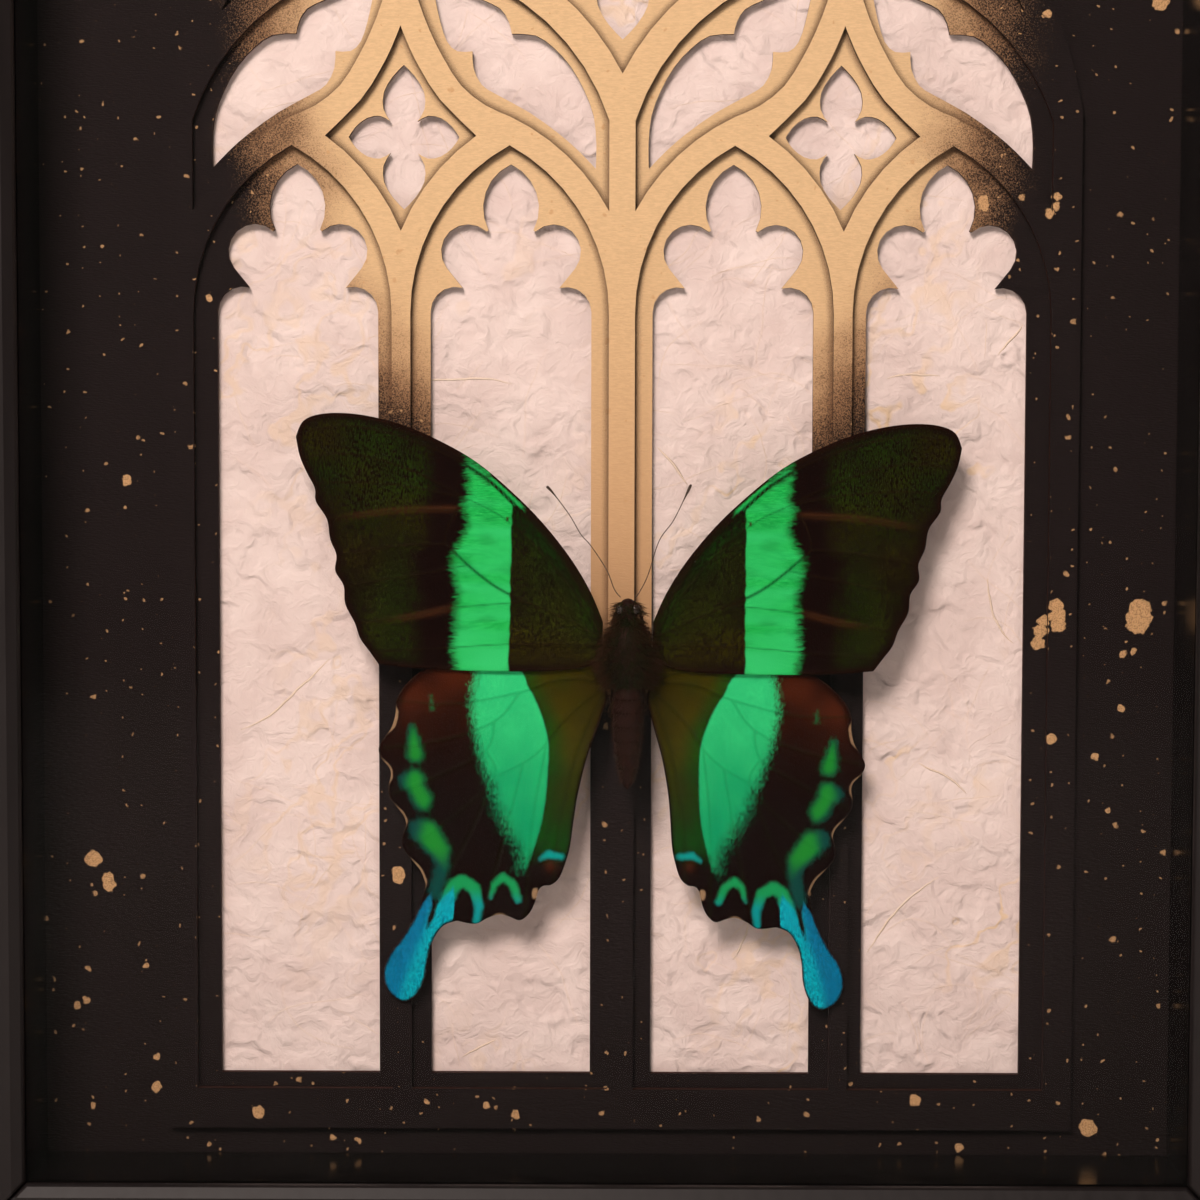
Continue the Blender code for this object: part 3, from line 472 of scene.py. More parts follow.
def hardboard_look():
    """Brown hardboard with pressed fibres."""
    look = Look("backing_board", 0.7)
    fibres = look.noise(1.0, look.scaled(900.0, 900.0, 350.0), detail=5.0, roughness=0.65)
    blotches = look.noise(25.0, detail=3.0)
    base = look.mix(look.ramp(fibres, 0.3, 0.7), (0.110, 0.058, 0.030), (0.240, 0.140, 0.078))
    stain = look.times(look.ramp(blotches, 0.4, 0.8), 0.35)
    look.colour(look.mix(stain, base, (0.09, 0.05, 0.03)))
    look.bump(fibres, 0.15, 0.5)
    return look.material


def steel_look():
    """Plated steel with fine drawing marks."""
    look = Look("plated_steel", 0.32, Metallic=1.0)
    marks = look.noise(1.0, look.scaled(300.0, 4000.0, 4000.0), detail=3.0)
    look.colour(look.mix(marks, (0.50, 0.48, 0.44), (0.70, 0.68, 0.63)))
    look.rough(look.ramp(marks, 0.2, 0.8, 0.26, 0.42))
    look.bump(marks, 0.02, 0.4)
    return look.material


# the wings' colours; a pair is the two ends of a mix
FORE_GROUND = (0.0060, 0.0016, 0.0012)
FORE_RUST = (0.060, 0.020, 0.007)
FORE_DUST = ((0.004, 0.042, 0.003), (0.034, 0.030, 0.002))
FORE_RIB = (0.012, 0.006, 0.002)
EMERALD = ((0.007, 0.370, 0.062), (0.024, 0.560, 0.110))
EMERALD_PALE = (0.034, 0.600, 0.170)
EMERALD_SHADE = (0.006, 0.200, 0.035)
EMERALD_VEIN = (0.004, 0.120, 0.022)
EMERALD_RIB = (0.002, 0.040, 0.008)
HIND_GROUND = (0.0050, 0.0008, 0.0008)
HIND_RUST = (0.058, 0.012, 0.004)
HIND_DUST = ((0.005, 0.080, 0.006), (0.058, 0.052, 0.001))
HIND_RIB = (0.008, 0.010, 0.001)
MINT = ((0.002, 0.350, 0.135), (0.040, 0.700, 0.240))
MINT_ROW = (0.004, 0.330, 0.110)
MINT_VEIN = (0.004, 0.230, 0.070)
SPOT_GREEN = ((0.004, 0.120, 0.036), (0.013, 0.270, 0.028))
SPOT_RIM = (0.002, 0.062, 0.050)
ARC_BLUE = ((0.009, 0.330, 0.070), (0.001, 0.330, 0.330))
TAIL_BLUE = ((0.001, 0.560, 0.680), (0.001, 0.230, 0.460))
TAIL_ROW = (0.000, 0.100, 0.170)
TAIL_GAP = (0.000, 0.090, 0.150)
CREAM = (0.42, 0.27, 0.15)


def scale_dust(look, stretch_u, stretch_v, shift=0.0):
    """Fine streaky noise like rows of wing scales."""
    place = look.node("Mapping", {"Vector": look.coords, "Location": (shift, 0.0, shift),
                                  "Scale": (stretch_u, 1000.0, stretch_v)}).outputs[0]
    return look.noise(1.0, place, detail=2.0, roughness=0.6)


def feathered(look, wisps, width):
    """The band's edge, whose raggedness and softness both grow with the feather attribute."""
    spread = look.attribute("feather")
    moved = look.plus(look.attribute("band"), look.times(wisps, spread))
    reach = look.plus(width, look.times(spread, 0.34))
    return look.ramp(look.math("DIVIDE", moved, reach), -1.0, 1.0)


def forewing_look():
    """Dark wing dusted with green, and an emerald band cut by darker veins."""
    look = Look("forewing_scales", 0.65, Specular_Ior_Level=0.01)
    fine = scale_dust(look, 4200.0, 1500.0)
    rows = scale_dust(look, 700.0, 4200.0, 0.3)
    wisps = look.minus(scale_dust(look, 700.0, 3000.0, 0.7), 0.5)

    dust = look.times(look.attribute("dust"), look.ramp(fine, 0.36, 0.66))
    ground = look.mix(look.attribute("rust"), FORE_GROUND, FORE_RUST)
    wing = look.mix(dust, ground, look.mix(look.attribute("warm"), *FORE_DUST))
    wing = look.veined(wing, (0.05, 0.35), 0.6, FORE_RIB)

    green = look.mix(look.ramp(rows, 0.28, 0.72), *EMERALD)
    green = look.mix(look.attribute("mint"), green, EMERALD_PALE)
    green = look.mix(look.attribute("shade"), green, EMERALD_SHADE)
    green = look.veined(green, (0.05, 0.30), 0.50, EMERALD_VEIN)
    green = look.mix(look.attribute("strong"), green, EMERALD_RIB)
    look.colour(look.mix(feathered(look, wisps, 0.14), wing, green))
    look.bump(look.plus(fine, look.times(rows, 0.5)), 0.05, 0.5)
    return look.material


def hindwing_look():
    """Velvet black wing with a mint band, green spots, blue arcs, pale crescents and a blue tail."""
    look = Look("hindwing_scales", 0.65, Specular_Ior_Level=0.0)
    fine = scale_dust(look, 3600.0, 3600.0)
    rows = scale_dust(look, 3800.0, 1300.0, 0.3)
    wisps = look.minus(scale_dust(look, 1500.0, 1100.0, 0.7), 0.5)
    ragged = look.minus(look.plus(look.times(fine, 0.5), look.times(rows, 0.5)), 0.5)
    ragged = look.plus(ragged, look.times(wisps, 0.7))

    ground = look.mix(look.attribute("rust"), HIND_GROUND, HIND_RUST)
    dust = look.times(look.attribute("dust"), look.ramp(fine, 0.18, 0.60))
    wing = look.mix(dust, ground, look.mix(look.attribute("warm"), *HIND_DUST))
    wing = look.veined(wing, (0.08, 0.42), 0.50, HIND_RIB)

    mint = look.mix(look.attribute("mint"), *MINT)
    mint = look.mix(look.ramp(rows, 0.25, 0.75, 0.30, 0.0), mint, MINT_ROW)
    mint = look.veined(mint, (0.08, 0.42), 0.34, MINT_VEIN)
    wing = look.mix(feathered(look, ragged, 0.16), wing, mint)

    pebble = look.mix(look.ramp(look.attribute("spots"), 0.3, 1.9), *SPOT_GREEN)
    pebble = look.mix(look.attribute("edge"), pebble, SPOT_RIM)
    wing = look.mix(look.frayed("spots", ragged, 2.3, -0.35, 1.15), wing, pebble)
    arc = look.mix(look.attribute("teal"), *ARC_BLUE)
    wing = look.mix(look.frayed("blue", ragged, 0.9, -0.25, 0.75), wing, arc)

    tail = look.mix(look.attribute("outer"), *TAIL_BLUE)
    tail = look.mix(look.ramp(rows, 0.30, 0.62, 0.70, 0.0), tail, TAIL_ROW)
    tail = look.mix(look.ramp(fine, 0.34, 0.58, 0.60, 0.0), tail, TAIL_GAP)
    wing = look.mix(look.frayed("tail", ragged, 0.6, -0.10, 0.55), wing, tail)

    pale = look.times(look.frayed("cream", ragged, 0.3, -0.10, 0.30), 0.75)
    look.colour(look.mix(pale, wing, CREAM))
    look.bump(look.plus(fine, look.times(rows, 0.5)), 0.05, 0.5)
    return look.material


def chitin_look():
    """Dark brown body wall."""
    look = Look("dark_chitin", 0.55, Specular_Ior_Level=0.06)
    look.colour(look.mix(look.noise(900.0, detail=3.0), (0.006, 0.0018, 0.0012), (0.024, 0.0065, 0.0035)))
    look.bump(look.noise(3000.0, detail=2.0), 0.06, 0.6)
    return look.material


def eye_look():
    """Faceted dark eye."""
    look = Look("compound_eye", 0.18)
    cells = look.node("TexVoronoi", {"Vector": look.coords, "Scale": 7000.0}).outputs["Distance"]
    look.colour(look.mix(cells, (0.030, 0.018, 0.014), (0.012, 0.007, 0.006)))
    look.bump(cells, 0.03, 0.5)
    return look.material


def fur_look():
    """Olive hairs on the back and red-brown ones at the sides."""
    look = Look("body_fur", 0.7, Specular_Ior_Level=0.1)
    tone = look.attribute("tone")
    look.colour(look.mix(tone, (0.008, 0.020, 0.002), (0.048, 0.011, 0.005)))
    look.bump(look.noise(6000.0), 0.02, 0.3)
    return look.material


# the paper

FINE_STEP = 0.66
COARSE_STEP = 5.0
WINDOW_REACH = (78.0, -2.5, 252.0)  # half width, foot and head of the finely meshed part
SHEET_LEAST = 0.1           # thickness in the deepest fold
SHEET_CLEAR = 0.15          # what the highest fold leaves of the room behind the mat


def grid_lines(low, high, fine_low, fine_high):
    """Coordinates from low to high, dense between the two fine limits."""
    before = np.linspace(low, fine_low, max(2, int((fine_low - low) / COARSE_STEP)), endpoint=False)
    middle = np.linspace(fine_low, fine_high, int((fine_high - fine_low) / FINE_STEP), endpoint=False)
    after = np.linspace(fine_high, high, max(2, int((high - fine_high) / COARSE_STEP)))
    return np.concatenate([before, middle, after])


def crease(x, y, size, seed, sharp):
    """Crumpled ridges: 1 on a crease line, falling off to 0."""
    bend_x = noise(x, y, size * 1.7, seed + 1) * size * 0.9
    bend_y = noise(x, y, size * 1.7, seed + 2) * size * 0.9
    lines = 1 - np.abs(noise(x + bend_x, y + bend_y, size, seed))
    return np.clip(lines, 0, 1) ** sharp


def paper_height(x, y):
    """Height of the crumpled sheet, from 0 to 1."""
    height = 0.50 * crease(x, y, 19.0, 11, 5.0) * step(-0.3, 0.4, noise(x, y, 23.0, 12))
    height += 0.28 * crease(x + 40, y * 1.6, 10.0, 21, 6.0) * step(-0.2, 0.5, noise(x, y, 15.0, 22))
    height += 0.13 * crease(x * 1.5, y - 30, 6.0, 31, 6.0) * step(-0.3, 0.5, noise(x, y, 11.0, 32))
    height += 0.07 * noise(x, y, 3.2, 41) + 0.20 * noise(x, y, 9.0, 42)
    return np.clip(0.28 + height, 0, 1)


def paper_front(x, y):
    """Depth of the sheet's front: its back less its thickness there."""
    return PAPER_BACK - SHEET_LEAST - paper_height(x, y) * (PAPER_BACK - SHEET_CLEAR - MAT_BACK)


def strand_share(x, y):
    """Where the creamy strands gather, from 0 to 1."""
    wide = crease(x, y * 0.7 + x * 0.3, 34.0, 61, 9.0) * step(0.0, 0.6, noise(x, y, 30.0, 62))
    return np.clip(0.45 * step(-0.2, 0.7, noise(x, y, 26.0, 63)) + wide, 0, 1)


def mulberry_paper():
    """The crumpled sheet, dense where the window's openings show it."""
    low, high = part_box("mulberry_paper")
    half, foot, head = WINDOW_REACH
    xs = grid_lines(low.x / MM, high.x / MM, WINDOW_X - half, WINDOW_X + half)
    zs = grid_lines(low.z / MM, high.z / MM, SILL_Z + foot, SILL_Z + head)
    grid_x, grid_z = np.meshgrid(xs, zs)
    front = paper_front(grid_x, grid_z)
    columns, rows = len(xs), len(zs)
    points = np.stack([grid_x.ravel(), front.ravel(), grid_z.ravel()], 1)
    index = np.arange(columns * rows).reshape(rows, columns)
    faces = np.stack([index[:-1, :-1], index[:-1, 1:], index[1:, 1:], index[1:, :-1]], -1).reshape(-1, 4)
    ring = np.concatenate([index[0, :], index[1:, -1], index[-1, -2::-1], index[-2:0:-1, 0]])
    rim = points[ring].copy()
    rim[:, 1] = PAPER_BACK
    start = len(points)
    count = len(ring)
    sides = [(ring[i], start + i, start + (i + 1) % count, ring[(i + 1) % count]) for i in range(count)]
    everything = [tuple(f) for f in faces] + sides + [tuple(range(start + count - 1, start - 1, -1))]
    mesh = mesh_from("mulberry_sheet", np.concatenate([points, rim]), everything)
    sheet = new_object("mulberry_sheet", mesh, paper_look())
    share = strand_share(grid_x.ravel(), grid_z.ravel())
    store(mesh, "strand", np.concatenate([share, share[ring]]))
    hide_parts("mulberry_paper")
    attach(sheet, "root")
    return sheet


FIBRE_COUNT = 420
FIBRE_STRIDE = 0.9
FIBRE_LIFT = 0.03
THICK_SHARE = 0.07          # of the fibres, which are wider by THICK_MORE
THICK_MORE = 0.45


def paper_fibres():
    """Long pale fibres pressed into the front of the sheet."""
    rng = np.random.default_rng(7)
    half, foot, head = WINDOW_REACH
    points, faces = [], []
    for _ in range(FIBRE_COUNT):
        x, z = rng.uniform(-half, half) + WINDOW_X, rng.uniform(foot, head) + SILL_Z
        heading = rng.uniform(0, math.pi)
        curl = rng.normal(0, 0.03)
        width = rng.uniform(0.06, 0.14) + (THICK_MORE if rng.uniform() < THICK_SHARE else 0.0)
        strides = int(rng.uniform(8, 26))
        spine = []
        for _ in range(strides):
            spine.append((x, z))
            heading += curl + rng.normal(0, 0.10)
            x, z = x + math.cos(heading) * FIBRE_STRIDE, z + math.sin(heading) * FIBRE_STRIDE
        spine = np.array(spine)
        across, up = np.abs(spine[:, 0] - WINDOW_X), spine[:, 1] - SILL_Z
        if across.max() >= half or up.min() <= foot or up.max() >= head:
            continue
        y = paper_front(spine[:, 0], spine[:, 1]) - FIBRE_LIFT
        along = np.gradient(spine, axis=0)
        along /= np.linalg.norm(along, axis=1)[:, None]
        side = np.stack([-along[:, 1], along[:, 0]], 1)
        for i in range(strides):
            girth = width * min(1.0, 0.25 + 3 * min(i, strides - 1 - i) / strides)
            a = spine[i] + side[i] * girth / 2
            b = spine[i] - side[i] * girth / 2
            middle = (spine[i, 0], y[i] - 0.04, spine[i, 1])
            points += [(a[0], y[i] + 0.05, a[1]), middle, (b[0], y[i] + 0.05, b[1])]
        base = len(points) - 3 * strides
        for i in range(strides - 1):
            j = base + 3 * i
            faces += [(j, j + 1, j + 4, j + 3), (j + 1, j + 2, j + 5, j + 4), (j + 2, j, j + 3, j + 5)]
        last = base + 3 * (strides - 1)
        faces += [(base, base + 2, base + 1), (last, last + 1, last + 2)]
    made = new_object("paper_fibres", mesh_from("paper_fibres", points, faces), fibre_look())
    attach(made, "root")
    return made


# the wings, as (outward, up) from each hinge


def forewing_outline():
    """Costa, scalloped margin and rear edge of a right forewing."""
    costa = smooth([(4.6, 2.8), (6.9, 8.1), (10.6, 14.1), (15.9, 20.6), (21.8, 26.3), (28.0, 31.3),
                    (34.5, 34.9), (41.0, 37.6), (47.2, 39.2), (52.5, 39.8), (57.0, 39.5), (60.0, 38.2),
                    (61.3, 35.4)], 4)
    margin = smooth([(61.3, 35.4), (60.6, 32.0), (59.3, 29.0), (57.7, 26.0), (57.5, 23.6), (55.4, 20.4),
                     (54.8, 16.8), (53.6, 13.9), (53.8, 11.0), (52.2, 8.3), (51.9, 5.0), (50.1, 1.6),
                     (49.1, -1.2), (47.4, -3.5), (45.6, -5.9)], 4)
    rear = smooth([(45.6, -5.9), (38.0, -6.5), (24.0, -6.7), (11.0, -6.2), (5.6, -4.6), (4.6, -2.6)], 6)
    return costa[:-1] + margin[:-1] + rear


def hindwing_outline():
    """Leading edge, scalloped margin, tail and inner edge of a right hindwing."""
    lead = smooth([(4.7, 3.4), (8.0, 5.2), (12.0, 6.6), (18.0, 6.9), (26.0, 6.0), (32.0, 4.2), (36.0, 2.2),
                   (38.2, 0.6), (40.1, -1.2), (41.4, -3.0), (42.2, -4.9)], 4)
    outer = smooth([(42.2, -4.9), (42.2, -7.0), (42.9, -9.7), (44.2, -11.6), (45.2, -13.6), (44.6, -15.4),
                    (43.1, -17.1), (42.8, -18.6), (43.2, -20.6), (42.9, -22.6), (41.3, -24.6), (40.2, -26.0),
                    (39.8, -27.6), (40.4, -29.6), (40.3, -31.8), (38.5, -34.1), (36.9, -36.0),
                    (35.9, -38.4)], 3)
    tail = smooth([(35.9, -38.4), (36.6, -41.6), (38.0, -45.2), (40.3, -49.2), (42.3, -52.0), (43.4, -55.6),
                   (42.4, -59.0), (39.6, -60.8), (37.2, -59.3), (35.7, -55.9), (35.1, -51.6), (34.1, -48.4),
                   (32.4, -46.0), (30.0, -45.0)], 4)
    rear = smooth([(30.0, -45.0), (26.6, -45.4), (24.4, -44.2), (22.2, -43.4), (20.4, -43.7), (18.4, -44.3),
                   (16.7, -42.9), (15.7, -40.7), (15.1, -38.5), (14.2, -37.6), (12.9, -37.4), (11.4, -36.0),
                   (10.3, -33.0), (9.6, -30.0), (9.0, -24.5), (8.4, -20.0), (7.0, -13.5), (5.1, -7.5),
                   (3.6, -2.2)], 4)
    return lead[:-1] + outer[:-1] + tail[:-1] + rear


FORE_VEINS = [
    [(5.0, 2.2), (12.5, 14.6), (21.5, 24.3), (28.0, 29.6), (38.0, 34.4), (50.0, 37.4), (59.0, 36.5)],
    [(5.0, 2.6), (12.0, 15.0), (21.0, 25.0), (27.0, 29.9), (36.0, 34.7), (44.0, 37.4)],
    [(5.2, 1.2), (13.0, 12.0), (22.0, 20.6), (29.5, 24.6), (40.0, 29.6), (51.0, 32.4), (60.4, 31.6)],
    [(29.5, 24.6), (40.0, 26.6), (50.0, 27.2), (58.2, 27.0)],
    [(29.5, 24.6), (31.4, 22.6), (33.2, 19.2), (33.6, 16.4)],
    [(31.4, 22.6), (42.0, 22.3), (50.0, 21.2), (55.8, 20.3)],
    [(5.4, 0.2), (13.0, 3.8), (22.5, 7.8), (27.8, 11.3), (33.6, 16.4)],
    [(33.6, 16.4), (42.0, 15.8), (53.8, 13.9)],
    [(29.4, 12.6), (38.0, 10.8), (52.4, 8.3)],
    [(18.5, 6.1), (32.2, 4.7), (40.0, 2.9), (50.3, 1.4)],
    [(5.2, -1.4), (21.9, -1.7), (34.0, -2.7), (47.4, -3.7)],
]
HIND_VEINS = [
    [(5.0, 1.4), (14.0, 3.8), (28.0, 3.6), (43.6, 2.6)],
    [(5.0, 0.6), (12.0, 0.6), (19.5, -2.0), (31.0, -4.6), (41.8, -4.6)],
    [(19.5, -2.0), (24.0, -7.6), (34.0, -11.6), (44.2, -13.4)],
    [(24.0, -7.6), (25.4, -13.0), (33.5, -17.8), (42.4, -21.9)],
    [(25.4, -13.0), (23.6, -17.8), (30.0, -24.6), (38.9, -31.4)],
    [(4.9, -0.8), (11.0, -6.4), (16.4, -13.4), (23.6, -17.8)],
    [(23.6, -17.8), (28.0, -28.4), (33.2, -39.4), (35.5, -46.6), (37.9, -53.0), (39.6, -59.2)],
    [(18.6, -15.2), (21.4, -28.0), (25.6, -44.8)],
    [(14.4, -11.0), (16.6, -26.0), (17.4, -43.6)],
    [(4.6, -1.8), (8.6, -12.0), (11.6, -26.0), (12.4, -36.6)],
]

STREAK_HIGH = [(29.5, 22.9), (42.0, 22.3), (50.0, 21.2), (55.8, 20.3)]
STREAK_LOW = [(29.0, 5.2), (32.2, 4.7), (40.0, 2.9), (50.3, 1.4)]
BAND_INNER_U = 21.6
BAND_OUTER = [(31.4, -8.0), (31.4, -6.3), (31.9, -3.0), (31.7, 0.0), (31.5, 4.4), (31.2, 8.0), (32.0, 11.0),
              (32.4, 14.1), (31.0, 16.7), (29.5, 20.2), (30.4, 23.3), (29.5, 25.8), (29.7, 29.0)]
HIND_BAND_IN = [(20.6, 3.4), (18.9, 1.2), (18.2, -0.7), (17.0, -2.7), (15.3, -6.6), (14.2, -10.5),
                (14.0, -13.5), (14.2, -19.5), (14.7, -24.3), (15.3, -27.5), (16.4, -31.2), (17.7, -34.2)]
HIND_BAND_OUT = [(17.7, -34.2), (18.2, -31.2), (20.2, -27.8), (22.3, -24.2), (23.8, -19.6), (25.4, -16.2),
                 (26.7, -11.5), (27.6, -7.2), (27.9, -3.0), (27.3, 0.8), (26.2, 3.4)]
SPOTS = [
    [(35.7, -3.4, 0.8), (35.6, -5.6, 1.2)],
    [(39.1, -9.6, 1.1), (38.8, -11.6, 1.6), (38.4, -14.3, 2.1)],
    [(39.6, -19.4, 2.1), (38.6, -19.1, 2.5)],
    [(38.4, -19.9, 2.1), (37.0, -22.6, 2.4), (36.7, -23.6, 1.7)],
    [(37.2, -28.4, 2.5), (36.0, -28.8, 2.9), (33.5, -32.1, 2.5), (32.9, -34.6, 1.7), (34.2, -40.0, 1.5)],
]
ARCS = [
    [(26.4, -44.8, 0.8), (26.0, -42.0, 1.0), (27.0, -38.7, 1.3), (29.1, -37.5, 1.4), (30.8, -38.5, 1.4),
     (31.8, -41.0, 1.5), (32.8, -43.6, 1.4)],
    [(23.9, -40.2, 0.5), (23.2, -37.7, 0.8), (21.7, -36.4, 1.0), (19.9, -37.7, 1.0), (18.9, -40.4, 0.9)],
    [(15.0, -32.7, 0.5), (13.4, -31.7, 0.9), (11.2, -32.0, 0.8)],
]
CRESCENTS = [(-10.2, -6.0, 0.62), (-19.8, -15.6, 0.42), (-27.6, -24.2, 0.42), (-38.6, -34.0, 0.45)]
TAIL_MID = [(32.6, -37.6), (33.6, -40.5), (35.5, -46.8), (37.8, -53.0), (39.8, -59.5)]


def vein_distance(points, veins):
    """Distance to the nearest vein, and how far along it that is."""
    best = np.full(len(points), 1e9)
    along = np.zeros(len(points))
    for vein in veins:
        gap, share = path_distance(points, smooth(vein, 4))
        closer = gap < best
        best[closer] = gap[closer]
        along[closer] = share[closer]
    return best, along


def forewing_fields(points, outline):
    """The numbers that the forewing's material reads at each point."""
    u, v = points[:, 0], points[:, 1]
    rim = np.abs(area_distance(points, outline))
    vein, _ = vein_distance(points, FORE_VEINS)
    outer = np.array(smooth(BAND_OUTER, 3))
    outer_u = np.interp(v, outer[:, 1], outer[:, 0])
    teeth = 0.35 * np.abs(np.sin(v * 2.6)) + 0.25 * noise(u * 0, v, 0.7, 5)
    inner_u = BAND_INNER_U - 0.010 * (v - 8) + 0.12 * noise(u * 0, v, 1.2, 6)
    across = np.minimum(u - inner_u, outer_u - 0.2 + teeth - u)
    radius = np.array(smooth(FORE_VEINS[0], 4))
    over_radius = v > np.interp(u, radius[:, 0], radius[:, 1])
    radial = path_distance(points, radius)[0]
    patch = np.minimum(np.minimum(0.55 * (u - 18.4), 29.6 - u), rim - 0.45)
    patch = np.minimum(patch, 0.9 - 0.30 * (22.5 - u).clip(0))
    band = np.where(over_radius, patch, np.minimum(across, radial - 0.35))
    beyond = u - outer_u
    dark = step(9.0, 5.0, beyond + 0.8 * noise(u * 0.2, v, 2.0, 10)) * step(-0.5, 0.2, beyond)
    dust = np.where(beyond > 0, (1 - dark) * 0.74, 0.85)
    dust = dust * step(0.25, 2.4, rim) * (0.82 + 0.4 * noise(u, v, 5.0, 8))
    base_glow = step(17, 5, np.hypot(u - 4, v))
    dust = np.clip(dust + 0.30 * base_glow, 0, 1)
    warm = np.where(u > 24, 0.62, 0.42 + 0.5 * step(7, -5, v) - 0.3 * step(4, 0.5, radial))
    warm = np.clip(warm + 0.35 * noise(u, v, 7.0, 9) + 0.15 * base_glow, 0, 1)
    streaks = np.zeros(len(points))
    for route, start, end, width in ((STREAK_HIGH, 31, 55, 0.55), (STREAK_LOW, 32, 47, 0.60)):
        gap = path_distance(points, smooth(route, 4))[0]
        fade = step(start - 1.5, start + 2, u) * step(end, end - 7, u)
        streaks = np.maximum(streaks, bell(gap, width) * fade)
    notch = bell(np.hypot(u - 22.4, (v - 21.0) * 0.5), 0.45)
    rust = np.clip(0.70 * streaks + 0.9 * notch + 0.10 * step(1.0, 0.2, rim), 0, 1)
    band = band - 1.2 * notch
    feather = np.where(u > (inner_u + outer_u) / 2, 2.8, 0.3)
    mint = np.clip(0.35 + 0.6 * noise(u * 0.15, v, 1.7, 14) + 0.35 * step(5, -6, v), 0, 1)
    clouds = step(0.1, 0.8, noise(u * 0.3, v, 1.3, 15))
    shade = np.clip(0.30 * clouds + 0.35 * step(1.6, 0.2, outer_u - u), 0, 1)
    cubitus = path_distance(points, smooth(FORE_VEINS[6], 4))[0]
    strong = np.clip(bell(radial, 0.34) + 0.75 * bell(cubitus, 0.26), 0, 1)
    return {"band": band, "vein": vein, "dust": dust, "warm": warm, "rust": rust, "feather": feather,
            "mint": mint, "shade": shade, "strong": strong}


def window(value, low, high, soft):
    """1 between two limits, fading out over a soft length at each end."""
    return step(low - soft, low + soft, value) * step(high + soft, high - soft, value)


def hindwing_fields(points, outline):
    """The numbers that the hindwing's material reads at each point."""
    u, v = points[:, 0], points[:, 1]
    rim = np.abs(area_distance(points, outline))
    vein, _ = vein_distance(points, HIND_VEINS)
    inner = smooth(HIND_BAND_IN, 3)
    outer = smooth(HIND_BAND_OUT, 3)
    band = area_distance(points, inner + outer[1:])
    inner_u = np.interp(-v, -np.array(inner)[:, 1], np.array(inner)[:, 0])
    outer_u = np.interp(v, np.array(outer)[:, 1], np.array(outer)[:, 0])
    side = step(-1.5, 1.5, u - (inner_u + outer_u) / 2)
    feather = 0.35 + (3.2 + 2.8 * step(-12, -26, v)) * side
    band = band + 0.35 * side
    spots = np.max([blob_distance(points, chain) for chain in SPOTS], axis=0)
    spots -= 0.5 * step(-8.0, -6.5, v)
    blue = np.max([blob_distance(points, chain) for chain in ARCS], axis=0)
    edge = np.clip(step(4.6, 1.6, rim) + 0.8 * step(-31, -36, v), 0, 1)
    cream = np.full(len(points), -1.0)
    for low, high, reach in CRESCENTS:
        cream = np.maximum(cream, np.where(u > 30, window(v, low, high, 1.0) * reach - rim, -1.0))
    cream = np.maximum(cream, np.where(v < -42, window(u, 21.0, 23.6, 0.8) * 0.35 - rim, -1.0))
    cream = np.maximum(cream, 0.75 - np.hypot(u - 15.7, (v + 39.2) * 0.6))
    tail_line = np.array(smooth(TAIL_MID, 4))
    mid_gap = path_distance(points, tail_line)[0]
    mid_u = np.interp(-v, -tail_line[:, 1], tail_line[:, 0])
    in_tail = step(-38.0, -43.0, v) * (u > 30.5)
    groove = 0.55 * step(-50, -44, v)
    halves = np.minimum(0.6 + mid_gap - groove * 1.6, rim - 0.10) - (1 - in_tail) * 1.6
    tail = np.where(in_tail > 0, halves, -2.0)
    outer_half = step(-0.8, 1.6, u - mid_u)
    teal = np.clip(step(-38.5, -42.5, v) + 0.8 * (v > -34) + 0.10, 0, 1)
    inboard = step(1.2, -0.6, u - inner_u)
    dust = inboard * step(0.1, 0.9, rim) * step(-34.5, -29.0, v)
    dust *= 0.80 + 0.35 * noise(u, v, 6.0, 18)
    dust *= 0.80 + 0.20 * np.abs(np.sin(np.arctan2(v, u) * 34))
    warm = np.clip(step(0.5, -5.0, u - inner_u) * step(-30, -12, v) + 0.2 * noise(u, v, 4.0, 22), 0, 1)
    rust = 0.9 * step(-15, 0.5, v + 0.35 * (u - 35)) * step(25, 31, u) * step(0.1, 2.0, rim)
    rust *= 0.7 + 0.5 * noise(u, v, 4.0, 19)
    anal = bell(np.hypot(u - 13.0, v + 33.9), 1.0)
    rust = np.clip(rust + anal + 0.14 * step(-26, -2, v), 0, 1)
    mint = np.clip(step(-27, 1, v) * 0.80 + 0.15 * noise(u, v, 3.0, 20) + 0.12, 0, 1)
    return {"band": band, "vein": vein, "dust": np.clip(dust, 0, 1), "warm": warm, "rust": rust,
            "feather": feather, "mint": mint, "spots": spots, "blue": blue, "teal": teal,
            "cream": cream, "tail": tail, "outer": outer_half, "edge": edge}


WING_PITCH = 0.42


def wing_points(outline):
    """The outline at an even pitch, then a staggered grid of points inside it."""
    edge = []
    closed = list(outline) + [outline[0]]
    for start, end in zip(closed[:-1], closed[1:]):
        count = max(1, round(math.dist(start, end) / WING_PITCH))
        edge += [(start[0] + (end[0] - start[0]) * i / count, start[1] + (end[1] - start[1]) * i / count)
                 for i in range(count)]
    edge = np.array(edge)
    low, high = edge.min(0), edge.max(0)
    rows = np.arange(low[1], high[1], WING_PITCH * 0.87)
    grid = []
    for index, v in enumerate(rows):
        shift = WING_PITCH / 2 if index % 2 else 0.0
        grid += [(u, v) for u in np.arange(low[0] + shift, high[0], WING_PITCH)]
    grid = np.array(grid)
    grid = grid[area_distance(grid, outline) > WING_PITCH * 0.6]
    return edge, grid


